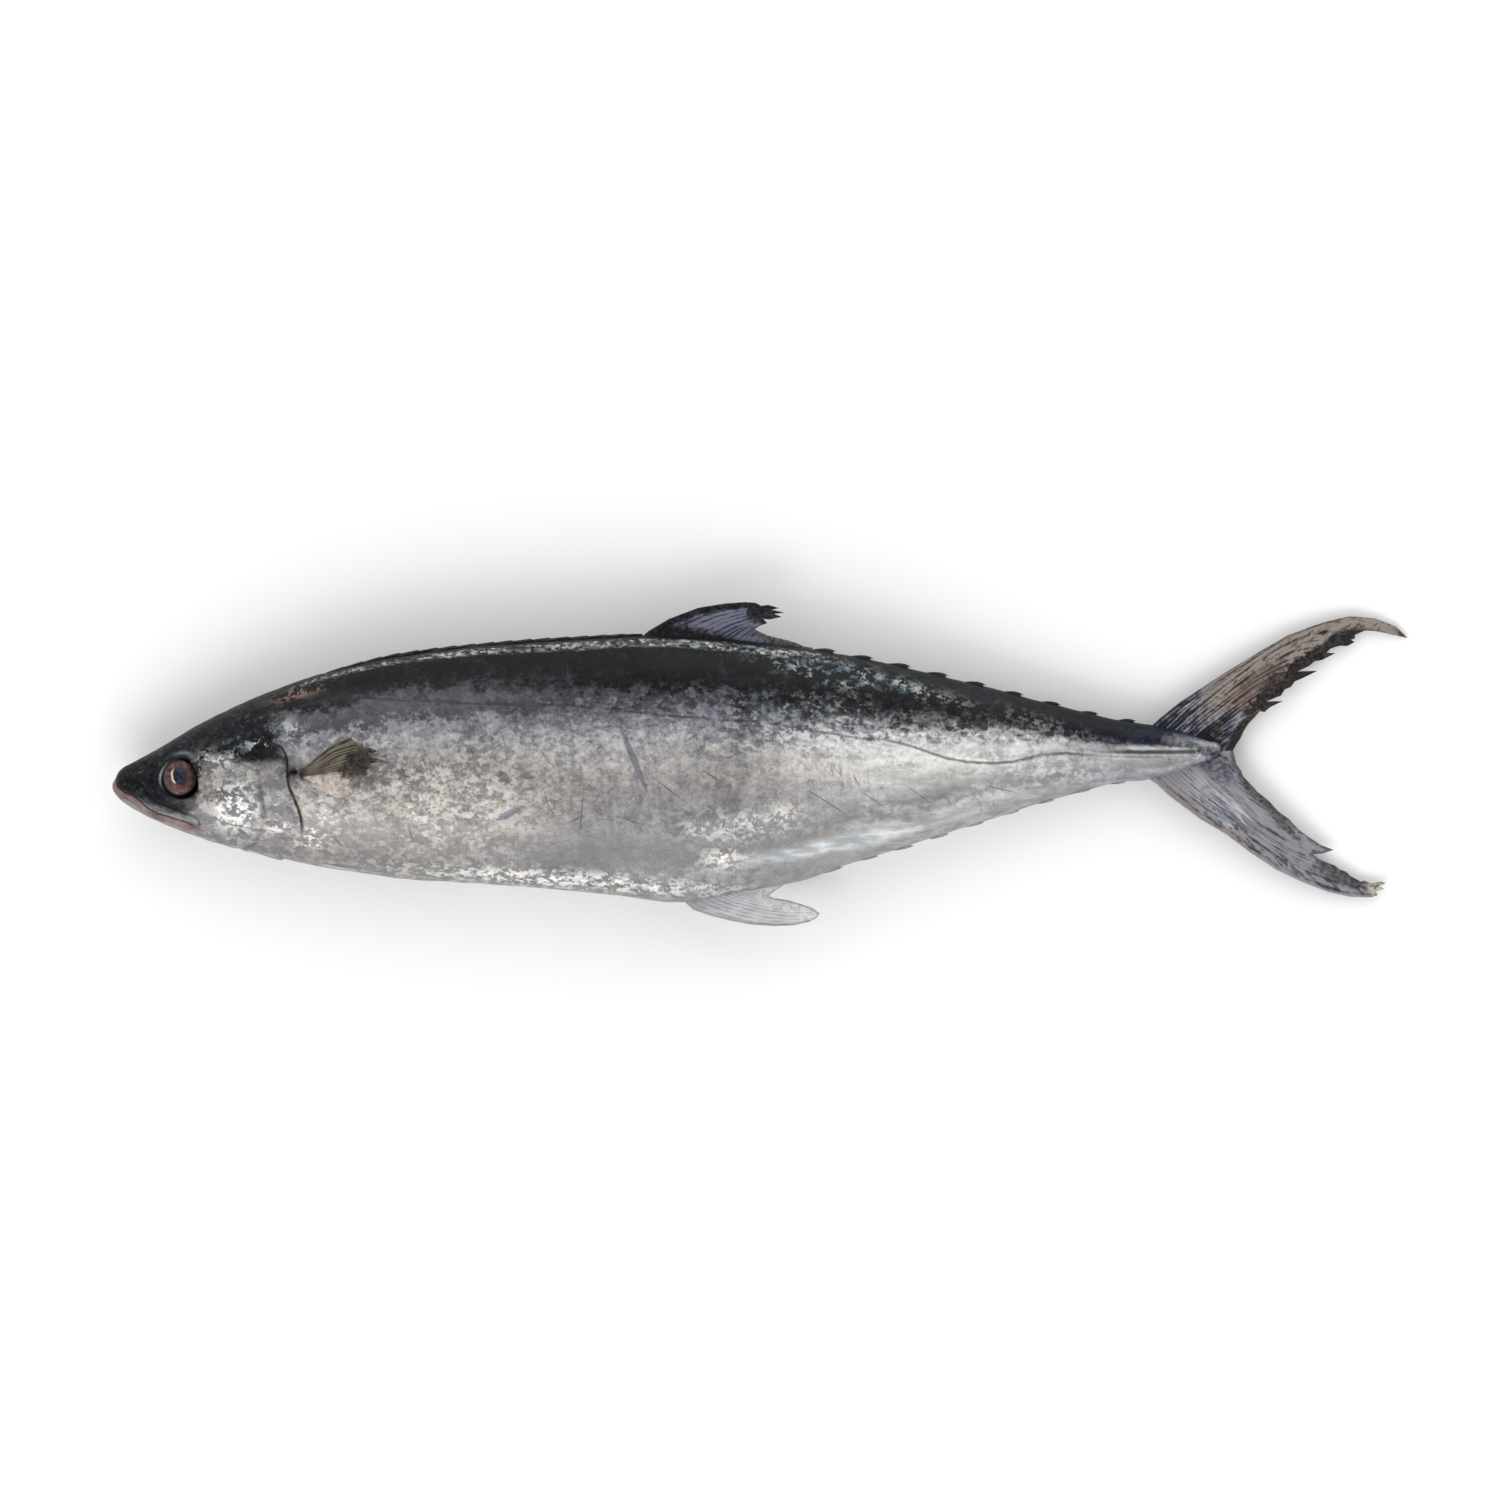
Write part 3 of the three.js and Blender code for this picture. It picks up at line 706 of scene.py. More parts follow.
# %% The head's dark cap and silver cheek
cap_edge = skin.add(skin.read("cap"), skin.sway(middling, 9), skin.sway(small, 5))
cheek_paint = skin.shades(
    skin.weighed((middling, 0.4), (small, 0.3), (patchwork, 0.3)), (0.3, 118, 116, 120),
    (0.42, 138, 136, 137), (0.56, 152, 150, 149), (0.7, 178, 176, 173))
cap_paint = skin.shades(
    skin.weighed((middling, 0.35), (small, 0.4), (fine_patchwork, 0.25)), (0.34, 10, 11, 14),
    (0.5, 22, 24, 29), (0.6, 40, 43, 49), (0.7, 96, 102, 108))
head_paint = skin.blend(skin.between(cap_edge, -1.5, 2.5), cheek_paint, cap_paint)
on_head = skin.between(skin.add(skin.read("gill"), skin.times(skin.add(middling, -0.5), skin.between(
    skin.read("slit"), 0, 1, 22.0, 1.0))), skin.between(skin.read("slit"), 0, 1, 16.0, 0.6), -1.0)
skin.cover(on_head, head_paint)
print("with the head:", len(skin.nodes))

# %% [markdown]
# ## Silver, clouds and flecks
#
# The silver is a layer of tiny mirror plates. Handling rubs some off, which leaves dull clouds, and loose
# scales catch the light as flecks, painted as glints. One even noise looks like stone, so the flank is
# shaded by several at different sizes: broad clouds, speckle, fine upright wrinkles and small flat flakes.
# The stored patches then say where silver with its painted glints, dullness, blush and flecks gather, and
# the noises say what their edges look like.

# %% Light and dark over the flank
mottle = skin.between(skin.weighed((middling, 0.5), (small, 0.5)), 0.34, 0.66, 0.74, 1.2)
clouds = skin.between(big, 0.3, 0.7, 0.86, 1.08)
speckle = skin.between(skin.weighed((small, 0.4), (grain, 0.6)), 0.36, 0.64, 0.88, 1.10)
lines = skin.between(wrinkles, 0.34, 0.6, 0.86, 1.05)
quilt = skin.add(skin.times(patchwork, 0.20), skin.times(fine_patchwork, 0.13), 0.82)
calm = skin.times(
    skin.between(depth, 0.70, 0.86, 1.0, 0.5), skin.between(where, 380, 500, 1.0, 0.6),
    skin.between(on_head, 0, 1, 1.0, 0.7))
rough_shade = skin.times(mottle, clouds, speckle, lines, quilt)
# painted sheen in streaks along the rear flank, times the painted broad light and shade
sheen_and_light = skin.add(
    skin.times(skin.add(skin.between(streaks, 0.36, 0.64, 0.8, 1.18), -1), skin.between(where, 380, 480)), 1)
sheen_and_light = skin.times(sheen_and_light, skin.add(skin.times(skin.read("light"), 0.16), 1))
skin.tint = skin.shade(
    skin.tint, skin.times(skin.add(skin.times(skin.add(rough_shade, -1), calm), 1), sheen_and_light))
print("shaded:", len(skin.nodes))

# %% Silver with painted glints, dullness and blush
back_paint = skin.shades(
    skin.weighed((middling, 0.4), (small, 0.35), (wrinkles, 0.25)), (0.38, 12, 12, 15), (0.5, 26, 26, 30),
    (0.62, 58, 58, 68))
skin.cover(skin.times(skin.between(depth, 0.23, 0.13), skin.between(where, 120, 200), 0.55), back_paint)
foil = skin.weighed((patchwork, 0.3), (fine_patchwork, 0.25), (middling, 0.2), (small, 0.25))
# painted glints: the silver's brightest patches, painted near white as light reflected in them
silver_glint_mask = skin.times(skin.read("silver_glint"), skin.between(foil, 0.42, 0.6))
skin.cover(
    skin.times(silver_glint_mask, 0.85, clamp=True),
    skin.shades(fine_patchwork, (0.2, 204, 204, 202), (0.8, 244, 243, 240)))
dark_cloud = skin.times(
    skin.read("dull"), skin.between(skin.weighed((big, 0.4), (middling, 0.3), (patchwork, 0.3)), 0.72, 0.30))
skin.cover(skin.times(dark_cloud, 0.6, clamp=True), colour(128, 126, 127))
skin.cover(
    skin.times(skin.read("pink"), skin.between(foil, 0.42, 0.56), 0.5, clamp=True), colour(196, 166, 152))
print("silvered:", len(skin.nodes))

# %% Flecks painted as glints, the painted sheen of the low streak, and dark specks
# flecks of loose scales, painted as glints where they catch the light
fleck_noise = skin.add(
    skin.times(skin.noise(4.2, (0.7, 1, 1), detail=6, rough=0.75, seed=3), 0.6), skin.times(foil, 0.4))
fleck_mask = skin.times(skin.between(fleck_noise, 0.505, 0.555), skin.read("flecks"))
fleck_paint = skin.blend(
    skin.between(depth, 0.3, 0.42),
    skin.shades(
        skin.noise(12, detail=4, seed=5), (0.42, 100, 120, 128), (0.5, 166, 180, 183), (0.56, 214, 217, 212),
        (0.64, 206, 192, 174)),
    skin.shades(
        skin.noise(12, detail=4, seed=5), (0.4, 224, 226, 226), (0.55, 236, 232, 226), (0.65, 226, 208, 192)))
skin.cover(skin.times(fleck_mask, 0.9, clamp=True), fleck_paint)
# painted sheen: a smooth band of reflected light low on the rear flank
sheen_streak = skin.times(skin.read("sheen"), skin.between(streaks, 0.34, 0.6, 0.5, 0.95))
skin.cover(sheen_streak, skin.shades(streaks, (0.35, 182, 188, 194), (0.65, 232, 237, 240)))
specks = skin.times(
    skin.between(skin.noise(3.0, (0.8, 1, 1), detail=4, rough=0.7, seed=11), 0.66, 0.72),
    skin.between(big, 0.4, 0.6), 0.5)
skin.cover(specks, colour(74, 70, 70))
skin.cover(skin.times(skin.read("dark"), skin.between(small, 0.3, 0.55), clamp=True), colour(20, 21, 26))
print("flecked:", len(skin.nodes))

# %% [markdown]
# ## The painted highlight on the ridge, the lateral line and the marks
#
# A pale band along the ridge of the back is a painted highlight, light reflected along the curved ridge.
# The lateral line is a row of pores, seen as a broken dark thread. The thin marks are scratches from nets
# and other fish, and the two wide ones shallow gashes. An image could hold them, but a table of ends and
# widths is easier to change, and the gashes' relief reads the same table.

# %% The painted highlight on the ridge, and the lateral line
from_back = skin.add(skin.read("from_back"), skin.sway(small, 3.4), skin.sway(middling, 3))
ridge_highlight_low = skin.between(where, 110, 320, 4.4, 7.2)
# painted highlight: a pale band of light reflected along the curved ridge of the back
ridge_highlight = skin.times(
    skin.between(from_back, 1.6, 3.0), skin.between(skin.math("SUBTRACT", from_back, ridge_highlight_low), 1.0, -1.4),
    skin.between(where, 96, 130), skin.between(where, 450, 400), skin.between(streaks, 0.38, 0.5, 0.3, 1.0))
ridge_highlight_paint = skin.shades(
    skin.weighed((small, 0.4), (streaks, 0.3), (fine_patchwork, 0.3)), (0.34, 36, 39, 42),
    (0.46, 94, 101, 101), (0.56, 152, 159, 156), (0.66, 214, 214, 204))
skin.cover(skin.times(ridge_highlight, 0.8), ridge_highlight_paint)
crest = skin.times(skin.between(from_back, 2.6, 1.2), skin.between(where, 90, 130))
skin.cover(skin.times(crest, 0.8), colour(28, 29, 32))
lateral_gap = skin.add(skin.read("lateral"), skin.sway(small, 1.6))
lateral_mark = skin.times(
    skin.between(lateral_gap, 1.3, 0.35),
    skin.between(streaks, 0.36, 0.5, skin.between(where, 420, 450, 0.35, 0.75), 1.0),
    skin.between(where, 600, 575))
skin.cover(skin.times(lateral_mark, 0.66), colour(62, 62, 68))
print("striped:", len(skin.nodes))

# %% Scratches and gashes, as (start, end, width in mm)
THIN_MARKS = [
    ((283.2, -9.6), (280, -45), 1.0), ((322, -6.6), (346, -24.6), 0.9), ((412, -12.6), (445, -33.6), 1.0),
    ((232, 24), (237, 8), 0.8), ((150, 18), (161, 30), 0.8), ((352, -2), (366, -12), 1.2),
    ((178, -38), (181, -46), 1.6), ((471, -10), (500, -30), 0.8), ((215, 12), (218, 1), 0.8),
    ((396, 22), (404, 13), 0.9), ((446, -15), (466, -28), 0.8), ((268, -38), (284, -30), 0.7),
    ((442, -1), (449, -18), 0.6), ((374, -34), (373, -44), 0.8), ((366, -34), (366, -42), 0.7),
    ((520, -12), (545, -18), 0.8), ((300, -30), (322, -38), 0.8), ((132, -42), (139, -50), 1.2),
    ((258, -12), (263, -30), 0.8), ((186, 6), (190, -6), 1.0)]
for start, end, width in THIN_MARKS:
    skin.cover(skin.times(skin.mark(start, end, width), 0.6), colour(92, 82, 78))
for start, end, width, _ in WOUNDS:
    rim_start, rim_end = (start[0] + 0.5, start[1]), (end[0] + 0.7, end[1])
    skin.cover(skin.times(skin.mark(rim_start, rim_end, width * 3.0), 0.6), colour(92, 88, 96))
    skin.cover(skin.times(skin.mark(start, end, width * 2.6), 0.9), colour(146, 144, 156))
scratches = skin.noise(7, (1, 0.09, 1), detail=2, turn=32, seed=8)
scratch_mask = skin.times(
    skin.between(skin.math("ABSOLUTE", skin.add(scratches, -0.5)), 0.010, 0.003),
    skin.between(big, 0.45, 0.62), skin.upper)
skin.cover(skin.times(scratch_mask, 0.4), colour(88, 86, 88))
print("marks:", len(THIN_MARKS), "thin and", len(WOUNDS), "wide")

# %% [markdown]
# ## Lips, slit and the rim of the eye
#
# The lower lip is bare pink skin, the jaw plate above it is dark, and the slit behind the gill cover is a
# shadow with dark blood in it. Light from above hardly shades such fine grooves, so each also gets a thin
# line of painted shade, from the same distance as the groove itself.

# %% Lips and jaw
lip = skin.add(skin.read("mouth"), skin.sway(small, 1.2))
lips_on = skin.between(where, 66, 50)
lip_band = skin.times(skin.between(lip, 0.2, -0.6), skin.between(lip, -5.0, -2.8), lips_on)
skin.cover(
    skin.times(skin.between(lip, -3.6, -7.5), lips_on, skin.between(skin.read("gill"), -40, -60)),
    colour(126, 130, 126))
skin.cover(
    skin.times(lip_band, 0.92),
    skin.shades(
        skin.weighed((middling, 0.6), (small, 0.4)), (0.38, 92, 68, 68), (0.5, 132, 112, 111),
        (0.62, 154, 142, 140)))
plate_band = skin.times(
    skin.between(lip, 0.2, 1.0), skin.between(lip, 6.4, 3.4), skin.between(where, 8, 22),
    skin.between(where, 58, 46))
skin.cover(skin.times(plate_band, 0.36), skin.shades(small, (0.4, 50, 53, 60), (0.6, 104, 108, 114)))
lip_light = skin.times(
    skin.between(lip, 0.5, 1.1), skin.between(lip, 2.2, 1.4), skin.between(where, 14, 24),
    skin.between(where, 44, 30), skin.between(small, 0.42, 0.56))
skin.cover(skin.times(lip_light, 0.3), colour(166, 168, 170))
# painted shade in the mouth's groove and along the jaw plate's edge
groove_shade = skin.times(
    skin.between(skin.math("ABSOLUTE", skin.read("mouth")), 0.8, 0.2), skin.between(where, 53, 44), 0.75)
plate_groove_shade = skin.times(skin.between(skin.read("plate"), 1.0, 0.3), skin.between(where, 50, 38, 0.45, 0.8))
skin.cover(skin.math("MAXIMUM", groove_shade, plate_groove_shade), colour(30, 28, 31))
print("with lips:", len(skin.nodes))

# %% The gill slit and the rim of the eye
slit_width = skin.add(skin.read("gill"), skin.sway(small, -1.6))
# the gill slit: painted shade, with the dark blood in it
slit = skin.times(
    skin.between(slit_width, 1.05, 0.35), skin.between(slit_width, -0.7, 0.0), skin.read("slit"),
    skin.between(middling, 0.36, 0.5, 0.55, 1.0), skin.between(skin.read("height"), -43, -34, 0.08, 1.0))
skin.cover(skin.times(slit, 0.88), colour(30, 23, 26))
# painted shade in the cheek's crease
skin.cover(skin.times(skin.between(skin.read("cheek"), 1.4, 0.4), 0.3), colour(70, 70, 76))
ring = skin.between(skin.read("eye"), 1.05, 0.98)
skin.cover(ring, colour(14, 15, 19))
skin.cover(skin.times(skin.read("crescent"), 0.75), colour(196, 198, 196))
skin.cover(skin.times(skin.read("rim_light"), 0.8), colour(132, 130, 142))
print("with slit and rim:", len(skin.nodes))

# %% [markdown]
# ## The tail stem
#
# Just before the tail, the stem is blue-black above, and two small bony keels on each side stand out pale
# against it. The shape already has the keels, so the paint only has to follow the distance to them.

# %% Blue-black and pale keels on the tail stem
stem = skin.between(where, 560, 628)
dark_stem = skin.times(stem, skin.between(skin.add(skin.read("height"), skin.sway(middling, 5)), 9, 13))
skin.cover(skin.times(dark_stem, 0.9), skin.shades(small, (0.35, 14, 16, 24), (0.65, 44, 52, 72)))
keel_line = skin.times(
    skin.between(where, 586, 612),
    skin.between(
        skin.math("ABSOLUTE", skin.add(skin.read("height"), skin.sway(middling, 2), -7.2)), 1.7, 0.5))
skin.cover(skin.times(keel_line, 0.7), colour(18, 19, 24))

stem_end = skin.between(skin.add(where, skin.sway(middling, 16)), 642, 654)
skin.cover(skin.times(stem_end, 0.9), skin.shades(small, (0.38, 24, 26, 34), (0.6, 74, 78, 92)))
plate_paint = skin.shades(
    skin.weighed((small, 0.5), (middling, 0.5)), (0.36, 94, 96, 104), (0.5, 162, 162, 166),
    (0.62, 206, 206, 204))
skin.cover(
    skin.times(
        skin.between(skin.add(skin.read("plates"), skin.sway(small, 5), skin.sway(middling, 7)), -2.0, 2.0),
        skin.between(where, 620, 648), skin.between(streaks, 0.34, 0.5, 0.4, 0.9)),
    plate_paint)
# painted glint: a teal gleam at the top of the stem where it meets the tail
teal_glint = skin.times(
    skin.between(where, 640, 652), skin.between(skin.read("height"), 12.5, 14),
    skin.between(small, 0.45, 0.55))
skin.cover(skin.times(teal_glint, 0.6), colour(70, 108, 132))
deepen = skin.nodes.new("ShaderNodeGamma")  # wet skin is deeper in the darks than dry skin
skin.links.new(skin.tint, deepen.inputs["Color"])
deepen.inputs["Gamma"].default_value = 1.15
skin.tint = deepen.outputs[0]
print("with the stem:", len(skin.nodes))

# %% [markdown]
# ## Wet silver
#
# Silver skin reflects like metal seen through water, and the dark back has no mirror layer under it. A
# fully metal flank would turn black where it mirrors dark places, so the metal share stays low and rises
# from back to flank. A faint clear coat stands for the water, and the fine relief for the scales' edges.

# %% Wet silver: shine, metal and fine relief
depth_metal = skin.between(ragged, 0.2, 0.42, 0.0, 0.4)
roughness = skin.between(skin.weighed((middling, 0.5), (small, 0.5)), 0.35, 0.65, 0.30, 0.52)
scale_cells = skin.cells(1.7, (0.75, 1, 1))
relief_mm = skin.weighed((scale_cells, -0.06), (small, 0.16), (middling, 0.25), (grain, 0.05), (foil, 0.25))
skin.surface(
    skin.tint, roughness, depth_metal, relief_mm, Coat_Weight=0.04, Coat_Roughness=0.2,
    Specular_IOR_Level=0.12)
body.data.materials.append(skin.material)
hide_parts("body")
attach(body, "root")
print("skin, with all its nodes:", len(skin.nodes))

# %% [markdown]
# ## The eyes
#
# A mackerel's eye is a flattened ball with a clear, wet cover. The pupil is a dark upright oval, and the iris
# is red-brown with a cream crescent in front of the pupil. One grid of rings makes the ball, with a middle
# that bulges like a cornea. Colour comes from each point's place across the eye, stored as two numbers.

# %% Eyeballs
EYE_FIT = 0.94  # the ball's thickness, as a share of its node's
EYE_HALF = (11.4, 12.2)  # half its width and height in mm, the units its colours are placed in


def eyeball(name, node, side):
    low, high = (np.array(c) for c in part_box(node))
    centre = (low + high) / 2
    radius = (high - low) / 2
    rings, around_count = 40, 72
    lean = np.radians(np.linspace(2, 178, rings))[:, None]
    turn = np.linspace(0, 2 * math.pi, around_count, endpoint=False)[None, :]
    turn = -turn * side
    out, up = np.sin(lean), np.cos(lean)
    across_x, across_y = out * np.cos(turn), out * np.sin(turn)
    cornea = 0.14 * np.exp(-((out / 0.5) ** 2)) * (up > 0)
    flatten = np.where(up > 0, 0.86, 1.0)
    rise = up * flatten + cornea
    points = np.stack([centre[0] + across_x * radius[0], centre[1] + across_y * radius[1],
                       centre[2] + side * rise * radius[2] * EYE_FIT + 0 * across_x], -1)
    pole = [0, 0, side * radius[2] * EYE_FIT]
    poles = [centre + pole, centre - pole]
    piece = make_piece(
        name, np.concatenate([points.reshape(-1, 3), poles]), closed_faces(rings, around_count))
    set_values(
        piece, eye_x=np.append((across_x * EYE_HALF[0]).ravel(), [0, 0]),
        eye_y=np.append((across_y * EYE_HALF[1]).ravel(), [0, 0]))
    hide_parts(node)
    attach(piece, "root")
    return piece


eyes = [eyeball("fish_eye_left", "eye_left", 1), eyeball("fish_eye_right", "eye_right", -1)]

# %% The eye's finish
wet_eye = Finish("wet_eye")
eye_x, eye_y = wet_eye.read("eye_x"), wet_eye.read("eye_y")


def oval(x, y, width, tall, tilt):
    """Distance from an oval's middle, 1 at its edge."""
    c, s = math.cos(math.radians(tilt)), math.sin(math.radians(tilt))
    dx, dy = wet_eye.add(eye_x, -x), wet_eye.add(eye_y, -y)
    u = wet_eye.add(wet_eye.times(dx, c / width), wet_eye.times(dy, s / width))
    v = wet_eye.add(wet_eye.times(dx, -s / tall), wet_eye.times(dy, c / tall))
    return wet_eye.math("SQRT", wet_eye.add(wet_eye.times(u, u), wet_eye.times(v, v)))


cloud = wet_eye.noise(2.4, detail=4)
thread = wet_eye.noise(0.6, detail=3)
wet_eye.tint = wet_eye.shades(
    wet_eye.weighed((cloud, 0.6), (thread, 0.4)), (0.36, 38, 27, 27), (0.5, 78, 56, 54), (0.62, 120, 96, 90))
pupil_ring = oval(-0.4, 1.4, 3.9, 5.6, 18)
wet_eye.cover(
    wet_eye.times(wet_eye.between(oval(1.5, 1.6, 7.6, 8.6, 10), 1.1, 0.8), 0.35), colour(96, 62, 60))
wet_eye.cover(
    wet_eye.times(wet_eye.between(oval(-0.2, 0.8, 5.6, 7.4, 14), 1.05, 0.8), 0.8), colour(64, 44, 44))
wet_eye.cover(
    wet_eye.times(
        wet_eye.between(oval(-1.7, 1.2, 4.1, 5.3, 14), 1.02, 0.9), wet_eye.between(eye_x, -1.6, -3.4)),
    wet_eye.shades(cloud, (0.4, 150, 118, 102), (0.6, 206, 190, 164)))
wet_eye.cover(
    wet_eye.times(wet_eye.between(oval(-0.6, -5.9, 3.2, 1.3, 4), 1.1, 0.6), 0.8), colour(92, 24, 34))
wet_eye.cover(
    wet_eye.between(pupil_ring, 1.03, 0.95), wet_eye.shades(cloud, (0.35, 20, 24, 32), (0.65, 52, 60, 74)))
ring = wet_eye.between(oval(0.1, 0.4, 10.4, 10.3, 0), 0.93, 1.0)
wet_eye.cover(ring, colour(12, 12, 15))
wet_eye.surface(
    wet_eye.tint, 0.3, 0.0, wet_eye.times(thread, 0.04), Coat_Weight=0.1, Coat_Roughness=0.06,
    Specular_IOR_Level=0.1)
for eye in eyes:
    eye.data.materials.append(wet_eye.material)
print("eyes:", [len(e.data.polygons) for e in eyes])

# %% [markdown]
# ## Fins
#
# A fin is a thin membrane stretched over rays that fan out from its root. Its outline has a leading edge, a
# torn trailing edge, and a root that is buried in the flesh. The outline is filled with small triangles, so
# every tatter keeps its shape. The rays are paths from the root to the trailing edge: the first follows the
# leading edge and the others bend less and less.

# %% Points along an outline
from mathutils.geometry import delaunay_2d_cdt


def along_line(line, share):
    """Points at shares of the length of a line of (station, height) points."""
    line = np.array(line, float)
    lengths = np.concatenate([[0], np.cumsum(np.hypot(*np.diff(line, axis=0).T))])
    at = np.asarray(share) * lengths[-1]
    return np.stack([np.interp(at, lengths, line[:, 0]), np.interp(at, lengths, line[:, 1])], -1)


def divided(line, spacing):
    """A closed line with extra points, so that none are further apart than the spacing."""
    out = []
    for a, b in zip(line, line[1:] + line[:1]):
        count = max(1, math.ceil(math.dist(a, b) / spacing))
        out += [(a[0] + (b[0] - a[0]) * k / count, a[1] + (b[1] - a[1]) * k / count) for k in range(count)]
    return out


print("there and back over 10 mm in 3 mm steps:", len(divided([(0, 0), (10, 0)], 3)), "points")

# %% Triangles inside an outline
def inside(line, x, y):
    """Whether points are inside a closed line."""
    hit = np.zeros(x.shape, bool)
    for (ax, ay), (bx, by) in zip(line, line[1:] + line[:1]):
        if ay != by:
            hit ^= ((ay > y) != (by > y)) & (x < (bx - ax) * (y - ay) / (by - ay) + ax)
    return hit


def filled(outline, spacing):
    """Points and triangles that fill an outline."""
    rim = divided(outline, spacing)
    xs, ys = zip(*outline)
    gx, gy = np.meshgrid(np.arange(min(xs), max(xs), spacing), np.arange(min(ys), max(ys), spacing * 0.87))
    gx[1::2] += spacing / 2
    gx, gy = gx.ravel(), gy.ravel()
    gap, _ = to_line(outline + outline[:1], gx, gy)
    keep = inside(outline, gx, gy) & (gap > spacing * 0.55)
    dots = [Vector(p) for p in rim] + [Vector(p) for p in zip(gx[keep], gy[keep])]
    points, _, faces, *_ = delaunay_2d_cdt(dots, [], [list(range(len(rim)))], 1, 1e-6)
    return np.array([p[:] for p in points]), [tuple(f) for f in faces]


print("a 10 mm square fills with", len(filled([(0, 0), (10, 0), (10, 10), (0, 10)], 1.0)[1]), "triangles")

# %% Ray paths
def ray_paths(root, lead, trail, ranks, steps, lag=1.0):
    """Paths from root to trailing edge, one row for each rank from 0 at the leading edge to 1."""
    t = np.linspace(0, 1, steps)
    lead_line = along_line(lead, t)
    arch = lead_line - (lead_line[:1] + (lead_line[-1:] - lead_line[:1]) * t[:, None])
    span = np.linalg.norm(lead_line[-1] - lead_line[0])
    starts, ends = along_line(root, ranks**lag), along_line(trail, ranks)
    paths = starts[:, None] + (ends - starts)[:, None] * t[None, :, None]
    share = np.linalg.norm(ends - starts, axis=1) / span * (1 - ranks) ** 0.8
    return paths + arch[None] * share[:, None, None]


def ripple(s, y, t, size, amount, seed):
    """Gentle waves in mm that grow from the root to the tips."""
    waves = np.array(
        [noise.noise(Vector((a / size, b / size, seed))) for a, b in zip(np.ravel(s), np.ravel(y))])
    return amount * waves.reshape(np.shape(s)) * np.asarray(t) ** 1.5


def on_rays(paths, ranks, s, y):
    """The rank of the ray through each point, and how far along that ray the point is."""
    gap = np.full((len(s), len(ranks)), 1e9)
    share = np.zeros((len(s), len(ranks)))
    steps = paths.shape[1]
    for k in range(steps - 1):
        a, d = paths[:, k], paths[:, k + 1] - paths[:, k]
        reach = (s[:, None] - a[:, 0]) * d[:, 0] + (y[:, None] - a[:, 1]) * d[:, 1]
        u = np.clip(reach / np.maximum((d * d).sum(1), 1e-9), 0, 1)
        here = np.hypot(s[:, None] - a[:, 0] - u * d[:, 0], y[:, None] - a[:, 1] - u * d[:, 1])
        closer = here < gap
        gap = np.where(closer, here, gap)
        share = np.where(closer, (k + u) / (steps - 1), share)
    near = gap.argmin(1)
    each = np.arange(len(s))
    low, high = np.maximum(near - 1, 0), np.minimum(near + 1, len(ranks) - 1)
    other = np.where(gap[each, low] < gap[each, high], low, high)
    other = np.where(near == 0, 1, np.where(near == len(ranks) - 1, near - 1, other))
    pull = gap[each, near] / np.maximum(gap[each, near] + gap[each, other], 1e-9)
    return ranks[near] + (ranks[other] - ranks[near]) * pull, share[each, near]


sample = ray_paths([(0, 0), (0, -5)], [(0, 0), (10, 5)], [(10, 5), (10, -5)], np.linspace(0, 1, 3), 5)
print("three sample rays end at", sample[:, -1].tolist())

# %% Membranes
def membrane(name, outline, trail, lead, paths, ranks, lift, root_half, spacing=0.8):
    """A thin closed sheet that fills an outline. lift gives its height in mm over the surface."""
    flat, faces = filled(outline, spacing)
    s, y = flat[:, 0], flat[:, 1]
    ray, t = on_rays(paths, ranks, s, y)
    left, _ = to_line(trail, s, y)
    lead_gap, _ = to_line(lead, s, y)
    rim_gap, _ = to_line(outline + outline[:1], s, y)
    blade = 0.12 + 0.2 * np.clip(np.minimum(left, rim_gap * 3) / 8, 0, 1)
    half = blade + root_half * np.clip(1 - t * 5, 0, 1) ** 1.6 * np.clip(rim_gap / 1.5, 0, 1)
    level = lift(s, y, t)
    top, bottom = place(s, y, level + half), place(s, y, level - half)
    count = len(s)
    uses = {}
    for face in faces:
        for a, b in zip(face, face[1:] + face[:1]):
            uses[(a, b)] = uses.get((a, b), 0) + 1
    border = [(a, b) for a, b in uses if (b, a) not in uses]
    first = np.array([flat[i] for i in faces[0]])
    clockwise = np.cross(np.append(first[1] - first[0], 0), np.append(first[2] - first[0], 0))[2] < 0
    shell = [tuple(i + (count if clockwise else 0) for i in f) for f in faces]
    shell += [tuple(i + (0 if clockwise else count) for i in reversed(f)) for f in faces]
    walls = [
        (a, a + count, b + count, b) if not clockwise else (a + count, a, b, b + count) for a, b in border]
    piece = make_piece(name, np.concatenate([top, bottom]), shell + walls)
    if clockwise:
        piece.data.flip_normals()
    set_values(
        piece, ray=np.tile(ray, 2), along=np.tile(t, 2), left=np.tile(left, 2), lead=np.tile(lead_gap, 2))
    return piece


print("membranes store ray, along, left and lead")

# %% [markdown]
# ## Fin rays by Geometry Nodes
#
# Rays repeat along paths, so a node tree makes them: it takes the paths as edges, gives each one a round
# section that tapers from root to tip, swells it a little at every joint, and turns it into a mesh.
# The same tree serves all the fins with different sizes, which hand-made tubes couldn't do so easily.

